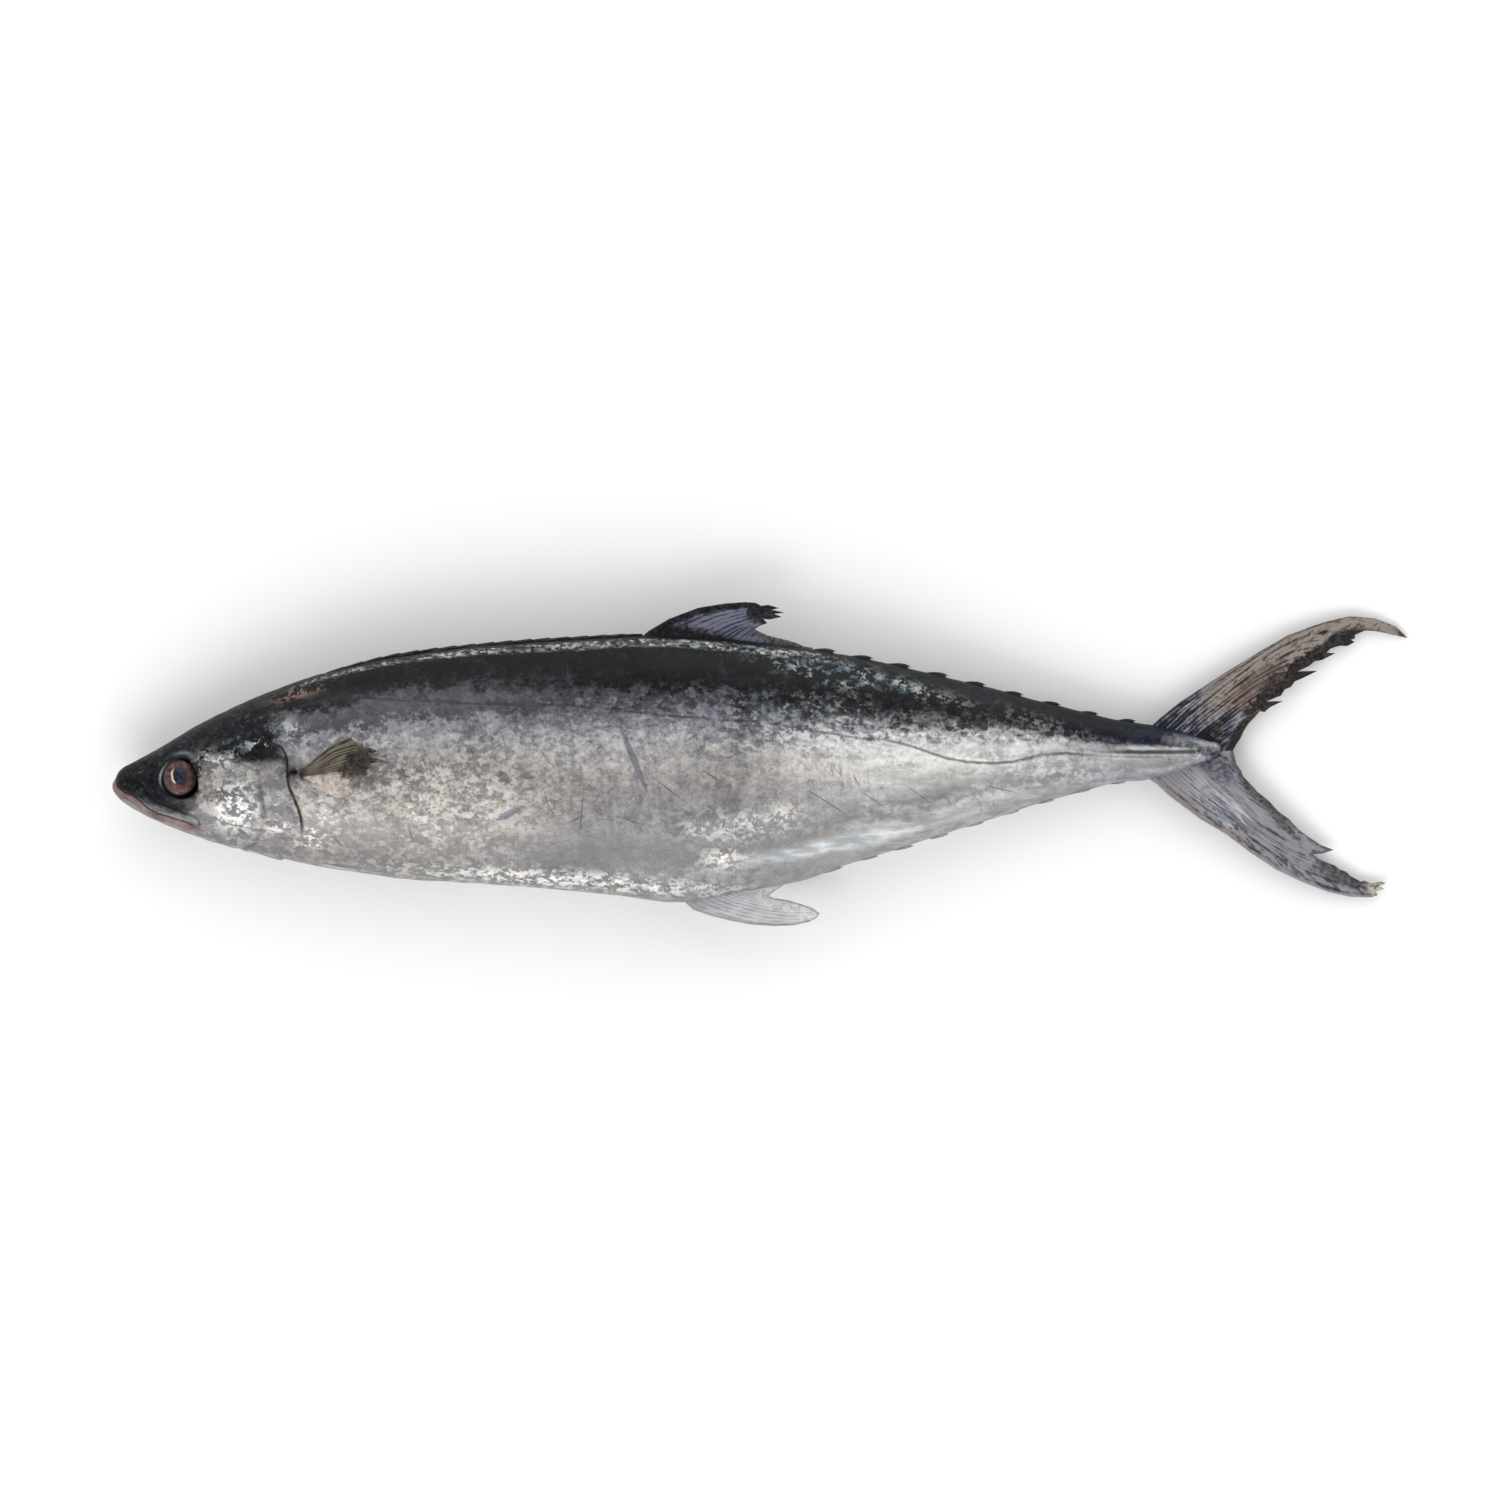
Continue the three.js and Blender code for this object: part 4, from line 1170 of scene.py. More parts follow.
# %% Helpers that build node trees
class Tree:
    """A Geometry Nodes tree in the making."""

    def __init__(self, name, **inputs):
        self.tree = bpy.data.node_groups.new(name, "GeometryNodeTree")
        self.tree.is_modifier = True
        self.tree.interface.new_socket("Geometry", in_out="INPUT", socket_type="NodeSocketGeometry")
        self.tree.interface.new_socket("Geometry", in_out="OUTPUT", socket_type="NodeSocketGeometry")
        for label, kind in inputs.items():
            self.tree.interface.new_socket(
                label.replace("_", " "), in_out="INPUT", socket_type="NodeSocket" + kind)
        self.start = self.tree.nodes.new("NodeGroupInput")
        self.end = self.tree.nodes.new("NodeGroupOutput")

    def given(self, label):
        """One of the tree's named inputs."""
        return self.start.outputs[label.replace("_", " ")]

    def add(self, kind, settings=None, **inputs):
        """Adds a node. Inputs go by name, or by n and their number where names repeat."""
        node = self.tree.nodes.new(kind)
        for label, value in (settings or {}).items():
            setattr(node, label, value)
        for label, value in inputs.items():
            index = int(label[1:]) if label[1:].isdigit() and label[0] == "n" else label.replace("_", " ")
            socket = node.inputs[index]
            if isinstance(value, bpy.types.NodeSocket):
                self.tree.links.new(value, socket)
            else:
                socket.default_value = value
        return node

    def math(self, operation, first, second=0.0):
        """One sum or product."""
        return self.add("ShaderNodeMath", {"operation": operation}, n0=first, n1=second).outputs[0]

    def named(self, label, kind="FLOAT"):
        """A value stored on the points."""
        return self.add(
            "GeometryNodeInputNamedAttribute", {"data_type": kind}, Name=label).outputs["Attribute"]

    def finish(self, geometry):
        """Ends the tree with real geometry that carries the given material."""
        real = self.add("GeometryNodeRealizeInstances", Geometry=geometry).outputs[0]
        painted = self.add(
            "GeometryNodeSetMaterial", Geometry=real, Material=self.given("Material")).outputs[0]
        self.tree.links.new(painted, self.end.inputs[0])


print("tree helpers:", [name for name in vars(Tree) if name[0] != "_"])

# %% Run a tree and keep a plain mesh
def grow(piece, tree, **values):
    """Runs a node tree on a piece and keeps the result as a plain mesh."""
    modifier = piece.modifiers.new(tree.tree.name, "NODES")
    modifier.node_group = tree.tree
    for item in tree.tree.interface.items_tree:
        label = item.name.replace(" ", "_")
        if item.in_out == "INPUT" and label in values:
            modifier[item.identifier] = values[label]
    seen = bpy.context.evaluated_depsgraph_get()
    plain = bpy.data.meshes.new_from_object(
        piece.evaluated_get(seen), preserve_all_data_layers=True, depsgraph=seen)
    piece.modifiers.clear()
    piece.data = plain
    return piece


print("trees so far:", len(bpy.data.node_groups))

# %% The tree that turns paths into rays
ray_tree = Tree(
    "fin_rays", Radius="Float", Joint_Length="Float", Joint_Swell="Float", Sides="Int", Material="Material")
paths = ray_tree.add("GeometryNodeMeshToCurve", Mesh=ray_tree.given("Geometry")).outputs[0]
ray_length = ray_tree.add("GeometryNodeSplineParameter").outputs["Length"]
beat = ray_tree.math(
    "SINE",
    ray_tree.math(
        "MULTIPLY", ray_tree.math("DIVIDE", ray_length, ray_tree.given("Joint_Length")), 2 * math.pi))
swell = ray_tree.math("ADD", ray_tree.math("MULTIPLY", beat, ray_tree.given("Joint_Swell")), 1.0)
ray_radius = ray_tree.math(
    "MULTIPLY", ray_tree.math("MULTIPLY", ray_tree.named("taper"), ray_tree.given("Radius")), swell)
section = ray_tree.add(
    "GeometryNodeCurvePrimitiveCircle", Resolution=ray_tree.given("Sides"), Radius=1.0).outputs[0]
tubes = ray_tree.add(
    "GeometryNodeCurveToMesh", Curve=paths, Profile_Curve=section, Scale=ray_radius,
    Fill_Caps=True).outputs[0]
ray_tree.finish(ray_tree.add("GeometryNodeSetShadeSmooth", Geometry=tubes).outputs[0])
print("ray tree:", len(ray_tree.tree.nodes), "nodes")

# %% Rays along chosen paths
def loose_paths(name, strips, tapers):
    """A piece made of bare paths: strips are lists of points in metres, tapers the width at each point."""
    points = [tuple(p) for strip in strips for p in strip]
    edges, first = [], 0
    for strip in strips:
        edges += [(first + k, first + k + 1) for k in range(len(strip) - 1)]
        first += len(strip)
    mesh = bpy.data.meshes.new(name)
    mesh.from_pydata(points, edges, [])
    piece = put(name, mesh)
    set_values(piece, taper=np.concatenate(tapers))
    return piece


def fin_rays(name, outline, paths, lift, chosen, radius, joint, swell, material, sides=6, end=0.3):
    """Rays along chosen rows of the paths, stopped where they would leave the outline."""
    strips, tapers = [], []
    for row in paths[chosen]:
        t = np.linspace(0, 1, len(row))
        held = inside(outline, row[:, 0], row[:, 1]) | (t < 0.15)
        stop = len(row) if held.all() else int(np.argmin(held))
        if stop < 5:
            continue
        s, y, t = row[:stop, 0], row[:stop, 1], t[:stop]
        strips.append(place(s, y, lift(s, y, t)))
        tapers.append(1 - (1 - end) * t / t[-1])
    return grow(loose_paths(name, strips, tapers), ray_tree, Radius=radius * MM, Joint_Length=joint * MM,
                Joint_Swell=swell, Sides=sides, Material=material)


print("rays stop where they would leave the fin's outline")

# %% Give a piece its finish and hide the plain parts it replaces
def dress(piece, finish, *nodes, slot):
    """Gives a piece its finish, hides the plain parts of its nodes and hangs it on the root body. slot is not
    used.
    """
    if finish is not None:
        piece.data.materials.append(finish)
    if nodes:
        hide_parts(*nodes)
    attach(piece, "root")
    return piece


# %% [markdown]
# ## The finishes of the fins
#
# Fin membrane is grey and half clear when fresh, and dries darker at its margin. Each fin has its own tint.
# The fine stripes between the rays come from the ray number stored on the membrane, and dark margins from
# the distance that is left to the trailing edge.

# %% One recipe for fin membranes
SATIN = {"Coat_Weight": 0.05, "Coat_Roughness": 0.25, "Specular_IOR_Level": 0.2}
DARK_SATIN = {"Coat_Weight": 0.05, "Coat_Roughness": 0.22, "Specular_IOR_Level": 0.15}


def fin_finish(name, pale, dark, stripe_count, blotch=0.9, stripe_depth=0.5, turn=0):
    """The start of a fin's finish: a pale and a dark shade, blotched, with stripes along the rays."""
    fin = Finish(name)
    fin.lumps = fin.noise(7, detail=5, rough=0.68)
    fin.crumbs = fin.noise(2.2, detail=4, rough=0.65, seed=2)
    fin.dust = fin.noise(0.8, detail=2)
    fin.streak = fin.noise(2.6, (0.12, 1, 1), detail=4, rough=0.62, turn=turn, seed=4)
    fin.ray = fin.read("ray")
    uneven = fin.add(fin.ray, fin.sway(fin.lumps, 0.012))
    fin.wave = fin.math("SINE", fin.times(uneven, stripe_count * 2 * math.pi))
    stripes = fin.times(
        fin.between(fin.wave, 0.1, 0.95), fin.between(fin.read("along"), 1.0, 0.75, 0.35, 1.0),
        fin.between(fin.streak, 0.6, 0.4, 0.35, 1.1))
    tone = fin.add(fin.times(fin.lumps, blotch), fin.times(fin.crumbs, 0.3), fin.times(fin.streak, 0.9),
                   fin.times(stripes, -stripe_depth), -0.25)
    fin.tint = fin.blend(fin.between(tone, 0.12, 0.95), dark, pale)
    fin.relief = fin.weighed((fin.wave, 0.06), (fin.dust, 0.08), (fin.crumbs, 0.14))
    return fin


def patch_at(fin, s, y, length, width, turn, edge=0.35):
    """A blotch with a torn edge at a station and height."""
    middle = (STATION_0 + s * MM, HEIGHT_0 + y * MM, 0)
    u, v = fin.centred(middle, turn, length * MM, width * MM)
    gap = fin.math("SQRT", fin.add(fin.times(u, u), fin.times(v, v)))
    torn = fin.add(gap, fin.sway(fin.lumps, 1.1), fin.sway(fin.crumbs, 0.8))
    return fin.between(torn, 1.0 + edge / 2, 1.0 - edge)


def ray_finish(name, dark, pale):
    """Wet horn for rays, mottled from dark to pale."""
    fin = Finish(name)
    lumps = fin.noise(3, detail=4, rough=0.65)
    fin.surface(fin.ramp(lumps, [(0.38, dark), (0.62, pale)]), fin.between(lumps, 0.3, 0.7, 0.4, 0.55), 0.0,
                fin.times(lumps, 0.1), **SATIN)
    return fin.material


print("satin:", SATIN)

# %% [markdown]
# ## The tail
#
# The tail fin is a crescent of two stiff lobes. Its rays leave the end of the stem in a fan, run nearly along
# the leading edges and end in a tattered rear margin. Each lobe gets its own sheet, because they are tinted
# differently, and both share one plane that sags to the surface at the tips.

# %% The outline of each lobe
UPPER = {
    "root": [(622, 19), (632, 17), (644, 13.5), (654, 9), (660, 7.6)],
    "lead": [
        (622, 22), (628, 27.5), (640.2, 37.2), (662, 51.6), (683.4, 64.8), (705, 77.4), (726.6, 85.2),
        (742.2, 88.8), (757.2, 87.6), (769.8, 82.8), (777.2, 75.6)],
    "trail": [
        (777.2, 75.6), (773, 76.6), (766.2, 78), (758, 79.8), (751.2, 80.1), (745.2, 77.4), (745.4, 75.4),
        (743, 74.6), (745.2, 73.2), (740.7, 70.8), (736, 71), (730.8, 69.4), (728.4, 66.9), (733.6, 66.5),
        (725.4, 62.4), (721, 61.6), (717.6, 58.8), (711, 55.6), (723, 56), (714, 51.6), (709, 49.4),
        (706.8, 46.2), (703, 44.8), (700.8, 41), (692, 37.6), (702, 37.8), (694, 34), (691, 31.2),
        (688, 31.6), (684.6, 27.6), (681, 24), (678, 19), (676.2, 15), (674, 12), (672, 8.2)],
    "foot": [(664, 7.4)]}
LOWER = {
    "root": [(622, -6), (632, -3.4), (644, 1.5), (654, 5.6), (660, 7.6)],
    "lead": [
        (622, -9.5), (626, -12), (633, -18.6), (652.2, -33), (667.5, -42), (682.8, -53.4), (698.1, -63.6),
        (713.4, -70.8), (729, -76.8), (742.5, -79.8), (755.4, -80.1), (759, -78.8)],
    "trail": [
        (759, -78.8), (758, -76.6), (763.2, -75), (760, -73.4), (763.8, -71.6), (760.6, -70.6),
        (754.8, -71.7), (751, -70), (748.8, -70.6), (742.5, -67.2), (740, -64.6), (736.2, -63.4),
        (733, -60.8), (730.2, -59.8), (723.4, -57), (720.3, -54.2), (726, -53.8), (732.6, -51.6),
        (724.8, -48.6), (717, -43.5), (711, -39), (705.6, -33), (699, -28.4), (693.6, -22.2), (687, -17),
        (681.3, -10.8), (678, -7.4), (676.8, -4), (674, 0), (673, 4.2), (672, 8.2)],
    "foot": [(664, 7.4)]}
LOBES_START, TAIL_TIP = 640, 777.6  # stations between which the tail sags to the surface
tail_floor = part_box("tail_fin")[0].z / MM


def outline_of(fin):
    """The closed outline of a fin: leading edge, trailing edge, foot and root."""
    return fin["lead"] + fin["trail"][1:] + fin["foot"] + fin["root"][::-1]


def tail_lift(s, y, t):
    """The tail's plane falls from the stem to its tips, a little above the surface."""
    stem_z = float(middle_height(LOBES_START))
    fall = np.clip((s - LOBES_START) / (TAIL_TIP - LOBES_START), -0.3, 1)
    plane = stem_z + (tail_floor + 0.8 - stem_z) * fall
    return np.maximum(plane + ripple(s, y, t, 24.0, 1.6, 2.0) + ripple(s, y, t, 7.0, 0.5, 4.0), 0.55)


print("outline points:", len(outline_of(UPPER)), "and", len(outline_of(LOWER)))

# %% [markdown]
# ## The tail's colours
#
# The upper lobe is brown, with a blackened rear margin and blue-grey light at its root. The lower one is
# lilac grey with dark speckles. A painted image could hold all that, but blotches placed by station and
# height, and dashes along the rays, keep their torn edges at any size.

# %% Finish of the upper lobe
fin = brown_tail = fin_finish(
    "upper_tail_membrane", colour(142, 133, 126), colour(42, 35, 34), 17, blotch=1.1, stripe_depth=0.6,
    turn=38)
fin.cover(
    fin.times(patch_at(fin, 688, 47, 26, 9, 38), 0.7),
    fin.shades(
        fin.add(fin.times(fin.crumbs, 0.6), fin.times(fin.wave, -0.12), 0.15), (0.36, 46, 36, 34),
        (0.5, 90, 70, 64), (0.64, 134, 108, 98)))
margin = fin.add(fin.read("left"), fin.sway(fin.lumps, 16), fin.sway(fin.crumbs, 6))
burnt = fin.times(fin.between(margin, 8.5, 5.5), fin.between(fin.read("lead"), 4.5, 9))
fin.cover(
    fin.times(burnt, 0.95),
    fin.shades(
        fin.weighed((fin.crumbs, 0.6), (fin.lumps, 0.4)), (0.44, 10, 10, 11), (0.56, 34, 31, 30),
        (0.66, 84, 78, 74)))
for s, y, length, width, turn in [
    (697, 44, 15, 8, 50), (728, 68, 17, 6, 32), (684, 26, 10, 5, 60), (775, 76.5, 6, 3.5, -50)]:
    fin.cover(
        fin.times(patch_at(fin, s, y, length, width, turn), 0.85),
        fin.shades(fin.crumbs, (0.4, 20, 19, 20), (0.65, 66, 60, 56)))
dash_noise = fin.noise(2.0, (0.35, 1, 1), detail=2, turn=38, seed=9)
dashes = fin.times(
    fin.between(dash_noise, 0.58, 0.61), fin.between(fin.read("lead"), 13, 10),
    fin.between(fin.read("lead"), 1.5, 3))
fin.cover(fin.times(dashes, 0.6), colour(38, 34, 34))
root_dark = fin.add(fin.read("along"), fin.sway(fin.lumps, 0.34), fin.times(fin.wave, -0.035))
near_fork = fin.between(fin.ray, 0.35, 0.75, 0.0, 0.35)
root_dark = fin.math("SUBTRACT", root_dark, near_fork)
fin.cover(
    fin.between(root_dark, 0.30, 0.14),
    fin.shades(
        fin.weighed((fin.streak, 0.75), (fin.crumbs, 0.25), (fin.wave, -0.04), (root_dark, 0.5)),
        (0.42, 14, 14, 18), (0.52, 40, 41, 50), (0.6, 98, 98, 109), (0.7, 152, 152, 163)))
fin.surface(fin.tint, 0.48, 0.0, fin.relief, **SATIN)

print("upper lobe:", len(fin.nodes), "nodes")

# %% Finish of the lower lobe
fin = lilac_tail = fin_finish(
    "lower_tail_membrane", colour(138, 137, 143), colour(58, 58, 66), 17, blotch=1.1, stripe_depth=0.5,
    turn=-42)
fin.cover(
    fin.times(
        fin.between(fin.add(fin.read("lead"), fin.times(fin.lumps, 6)), 8.5, 5),
        fin.between(fin.read("along"), 0.62, 0.4), fin.between(fin.crumbs, 0.38, 0.52), 0.75),
    fin.shades(fin.crumbs, (0.4, 92, 79, 75), (0.6, 146, 132, 126)))
fin.cover(
    fin.times(patch_at(fin, 664, -4, 13, 9, -40, 0.7), 0.75),
    fin.shades(fin.crumbs, (0.38, 26, 27, 34), (0.5, 62, 64, 76), (0.62, 120, 122, 136)))
fin.cover(
    fin.times(patch_at(fin, 672, -26, 30, 8, -42, 0.8), 0.6),
    fin.shades(fin.streak, (0.38, 108, 108, 119), (0.6, 206, 206, 211)))
fin.cover(
    fin.times(patch_at(fin, 660, -26, 22, 6, -42, 0.8), 0.5),
    fin.shades(
        fin.weighed((fin.streak, 0.8), (fin.crumbs, 0.2), (fin.wave, -0.05)), (0.38, 70, 72, 84),
        (0.6, 186, 188, 199)))
dash_noise = fin.noise(2.4, (0.35, 1, 1), detail=2, turn=-38, seed=9)
dashes = fin.times(
    fin.between(dash_noise, 0.53, 0.57), fin.between(fin.read("lead"), 12, 8),
    fin.between(fin.read("lead"), 0.8, 1.8), fin.between(fin.read("along"), 0.12, 0.3))
fin.cover(fin.times(dashes, 0.7), colour(44, 42, 44))
margin = fin.add(fin.read("left"), fin.sway(fin.lumps, 9))
fin.cover(fin.times(fin.between(margin, 2.6, 1.0), 0.7), colour(58, 56, 58))
for s, y, length, width, turn in [
    (699, -32, 20, 3.2, -48), (736, -67, 17, 5.5, -26), (683, -16, 12, 2.6, -50)]:
    fin.cover(
        fin.times(patch_at(fin, s, y, length, width, turn), 0.8),
        fin.shades(fin.crumbs, (0.4, 34, 34, 37), (0.65, 96, 92, 92)))
fin.cover(
    fin.times(patch_at(fin, 759, -75, 7, 5, -20), 0.85),
    fin.shades(fin.crumbs, (0.38, 60, 58, 56), (0.5, 176, 170, 156), (0.6, 196, 190, 178)))
root_dark = fin.add(fin.read("along"), fin.sway(fin.lumps, 0.3))
fin.cover(
    fin.times(fin.between(root_dark, 0.3, 0.1), fin.between(fin.ray, 0.45, 0.75)),
    fin.shades(fin.crumbs, (0.4, 26, 27, 34), (0.6, 84, 88, 104)))
fin.surface(fin.tint, 0.48, 0.0, fin.relief, **SATIN)

# %% Finish of the tail's rays
dark_ray = ray_finish("dark_ray", colour(44, 39, 38), colour(116, 104, 97))
lilac_ray = ray_finish("lilac_ray", colour(88, 87, 95), colour(150, 149, 156))

print("tail rays:", dark_ray.name, lilac_ray.name)

# %% Tail membranes and rays
RANKS = np.linspace(0, 1, 101)


def make_fin(
    name, node, slot, shape, lift, finish, ray_material, steps, lag, root_half, spacing, rays_at, *tube):
    """A membrane and its rays. tube holds the rays' radius, joint length and swell."""
    outline = outline_of(shape)
    paths = ray_paths(shape["root"], shape["lead"], shape["trail"], RANKS, steps, lag)
    sheet = membrane(
        name + "_membrane", outline, shape["trail"], shape["lead"], paths, RANKS, lift, root_half, spacing)
    dress(sheet, finish.material, node, slot=slot)
    rays = fin_rays(name + "_rays", outline, paths, lift, rays_at, *tube, ray_material)
    dress(rays, None, node, slot=slot)
    print(name, "faces:", len(sheet.data.polygons), "and", len(rays.data.polygons))


for name, shape, finish, ray_material in [
        ("tail_upper", UPPER, brown_tail, dark_ray), ("tail_lower", LOWER, lilac_tail, lilac_ray)]:
    make_fin(name, "tail_fin", "tail_fin", shape, tail_lift, finish, ray_material, 70, 0.8, 1.3, 0.8,
             np.arange(2, 95, 3), 0.46, 5.0, 0.1)

# %% [markdown]
# ## The second back fin and the anal fin
#
# These two stand opposite each other, both swept back like small sickles. The back fin is slate blue with a
# black leading edge and torn black tips. The anal fin is pale, with a whiter tip and a thin brown outline.

# %% Outlines of the two sickle fins
BACK_FIN = {
    "root": [(316, 73), (350, 71), (392, 67), (416, 64)],
    "lead": [
        (316, 75), (321, 79.5), (333.6, 87), (351, 93.6), (367.2, 96.2), (378.6, 97), (385.2, 96.7),
        (388.8, 94.8), (393, 95.4), (399.4, 93.4)],
    "trail": [
        (399.4, 93.4), (395, 92.4), (402.4, 90.8), (396.5, 89.9), (401, 88.2), (394, 86.6), (390, 86.8),
        (392.4, 84.4), (387.6, 82.6), (385, 80.8), (389, 78.6), (392.4, 77.1), (403.5, 74.4), (409.8, 72.6),
        (414, 70.6), (420, 69.6)],
    "foot": [(418, 66)]}
ANAL_FIN = {
    "root": [(338, -75), (360, -71), (384, -69), (404, -65)],
    "lead": [
        (338, -77.6), (341, -81), (348, -87.3), (358.8, -91), (370.8, -94), (382.8, -96.2), (395.4, -97.1),
        (407.4, -96.8), (417, -94.8)],
    "trail": [
        (417, -94.8), (421.5, -92.6), (423.8, -89.6), (419.4, -86.4), (412.8, -84), (404.4, -81.6),
        (397.2, -80.4), (393, -79.2), (396.6, -76.2), (402, -72.6), (408, -68.6)],
    "foot": [(407, -66)]}


def sickle_lift(rise):
    """Heights of a fin that stands in the middle plane and leans a little towards the surface."""
    def lift(s, y, t):
        plane = middle_height(s) - 1.2 * np.clip((s - 330) / 60, 0, 1) - 0.06 * np.abs(y - rise)
        return plane + ripple(s, y, t, 14.0, 1.4, 5.0) + ripple(s, y, t, 5.0, 0.4, 6.0)
    return lift


print("outline points:", len(outline_of(BACK_FIN)), "and", len(outline_of(ANAL_FIN)))

# %% Finishes of the sickle fins
fin = slate = fin_finish(
    "slate_membrane", colour(116, 117, 134), colour(48, 50, 64), 20, blotch=0.8, stripe_depth=0.6)
black = fin.shades(fin.crumbs, (0.4, 12, 12, 14), (0.62, 44, 44, 50))
band = fin.add(fin.read("lead"), fin.sway(fin.lumps, 7))
fin.cover(fin.between(band, 5.5, 3.0), black)
fin.cover(fin.times(patch_at(fin, 392, 90, 15, 7, 0), 0.95), black)
fin.cover(
    fin.times(patch_at(fin, 398, 76, 16, 4.5, -20), 0.7),
    fin.shades(fin.crumbs, (0.4, 50, 46, 46), (0.6, 110, 104, 102)))
root_dark = fin.add(fin.read("along"), fin.sway(fin.lumps, 0.3))
fin.cover(fin.between(root_dark, 0.3, 0.17), black)
fin.surface(fin.tint, 0.45, 0.0, fin.relief, **DARK_SATIN)

fin = pale = fin_finish(
    "pale_membrane", colour(198, 196, 198), colour(152, 151, 158), 24, blotch=0.7, stripe_depth=0.45)
fin.cover(
    fin.times(fin.between(fin.read("left"), 10, 4), fin.between(fin.crumbs, 0.4, 0.55), 0.6),
    colour(222, 220, 216))
fin.cover(fin.times(fin.between(fin.read("lead"), 2.2, 0.6), 0.7), colour(132, 124, 118))
fin.cover(fin.times(fin.between(fin.read("left"), 1.3, 0.4), 0.6), colour(132, 116, 104))
root_dark = fin.add(fin.read("along"), fin.sway(fin.lumps, 0.3))
fin.cover(fin.times(fin.between(root_dark, 0.34, 0.1), 0.6), colour(138, 137, 142))
fin.surface(fin.tint, 0.48, 0.0, fin.relief, **SATIN)
slate_ray = ray_finish("slate_ray", colour(22, 22, 27), colour(74, 76, 90))
pale_ray = ray_finish("pale_ray", colour(150, 149, 155), colour(196, 195, 198))
print("sickle fins:", slate.material.name, pale.material.name)

# %% Sickle membranes and rays
for name, shape, node, rise, finish, ray_material, slot in [
        ("back_fin", BACK_FIN, "second_dorsal_fin", 74, slate, slate_ray, "dark_fin"),
        ("anal_fin", ANAL_FIN, "anal_fin", -76, pale, pale_ray, "pale_fin")]:
    make_fin(name, node, slot, shape, sickle_lift(rise), finish, ray_material, 50, 0.8, 1.0, 1.0,
             np.arange(2, 95, 4), 0.4, 3.5, 0.08)

# %% [markdown]
# ## The pectoral fins
#
# The left one lies open on the flank behind the gill cover. Its rays start from a small dark root and spread
# like a hand fan, with a smudge of black on the outer part and a pale lower lobe. The right one is pressed
# flat under the fish. Both use the same outline, with different heights.

# %% Outline of a pectoral fin
PECTORAL = {
    "root": [(112, -4.6), (112.2, -6.6), (113, -8.6)],
    "lead": [
        (112, -4.2), (114, -3.4), (118.6, -0.4), (121.8, 2.4), (126, 6), (130.2, 9.9), (136, 13),
        (142.2, 15.6), (144.4, 16)],
    "trail": [
        (144.4, 16), (145.4, 13.6), (147.6, 13.2), (147.4, 11.2), (152, 10.8), (150.6, 9.4), (155.4, 9.6),
        (160.2, 7.6), (154.6, 6), (157, 4), (161, 3.2), (167.4, 0.8), (160.6, 1), (155.4, 0.2), (156.4, -1.8),
        (152.4, -3.4), (154.6, -6.4), (149.8, -8.2), (149, -11), (146.6, -12.6), (146, -15.6), (144.6, -18.6),
        (141.6, -19.6), (138.6, -20.4)],
    "foot": [(132, -18.6), (127.8, -16.2), (120, -13), (114.6, -9.8)]}


def left_lift(s, y, t):
    """The open fin stands off the flank, more towards its tip and its upper rays."""
    opening = 0.5 + 2.4 * t + 1.2 * t * np.clip((y + 20) / 36, 0, 1)
    return flank_z(s, y) + opening + ripple(s, y, t, 8.0, 1.6, 11.0)


def right_lift(s, y, t):
    """The other fin is pressed flat under the fish."""
    return 0.75 + 0 * s


print("outline points:", len(outline_of(PECTORAL)))

# %% Finish of the pectoral fins
fin = fan_tint = fin_finish(
    "pectoral_membrane", colour(114, 106, 92), colour(44, 38, 33), 15, blotch=0.6, stripe_depth=0.85, turn=32)
low_lobe = fin.between(fin.add(fin.ray, fin.sway(fin.lumps, 0.2)), 0.66, 0.78)
fin.cover(
    fin.times(low_lobe, 0.9),
    fin.shades(
        fin.weighed((fin.lumps, 0.5), (fin.crumbs, 0.5)), (0.38, 126, 118, 114), (0.5, 178, 168, 160),
        (0.62, 208, 198, 187)))
rim = fin.times(low_lobe, fin.between(fin.add(fin.read("left"), fin.times(fin.crumbs, 1.5)), 2.4, 1.2), 0.6)
fin.cover(rim, colour(124, 102, 90))
smudge = patch_at(fin, 148.5, 1, 13, 8, 40)
fin.cover(fin.times(smudge, 0.92), fin.shades(fin.crumbs, (0.4, 16, 15, 14), (0.62, 60, 55, 50)))
fin.cover(fin.times(patch_at(fin, 147, -9, 7, 5, 70), 0.7), colour(52, 48, 46))
fin.cover(
    fin.times(fin.between(fin.read("lead"), 1.5, 0.6), fin.between(fin.read("along"), 0.5, 0.3)),
    colour(44, 39, 38))
fin.cover(fin.between(fin.add(fin.read("along"), fin.times(fin.crumbs, 0.08)), 0.2, 0.08), colour(30, 29, 34))
fin.surface(fin.tint, 0.5, 0.0, fin.relief, **SATIN)
olive_ray = ray_finish("olive_ray", colour(44, 38, 32), colour(98, 88, 74))
print("pectoral finish:", len(fin.nodes), "nodes")

# %% Pectoral membranes and rays
for name, node, lift in [
    ("left_pectoral", "pectoral_fin_left", left_lift), ("right_pectoral", "pectoral_fin_right", right_lift)]:
    make_fin(name, node, "pectoral_fin", PECTORAL, lift, fan_tint, olive_ray, 40, 1.0, 0.4, 0.8,
             np.arange(2, 98, 5), 0.36, 3.0, 0.1)

# %% [markdown]
# ## The pelvic fins
#
# A seer fish's pelvic fins are small flaps under the throat that fold back against the belly. They are made
# like the other fins, but drawn in the upright plane along the belly: a short blade on each side.

# %% Pelvic fins
import bmesh


def fix_normals(piece):
    """Turns all the faces of a closed shell outwards."""
    shell = bmesh.new()
    shell.from_mesh(piece.data)
    bmesh.ops.recalc_face_normals(shell, faces=shell.faces)
    shell.to_mesh(piece.data)
    shell.free()


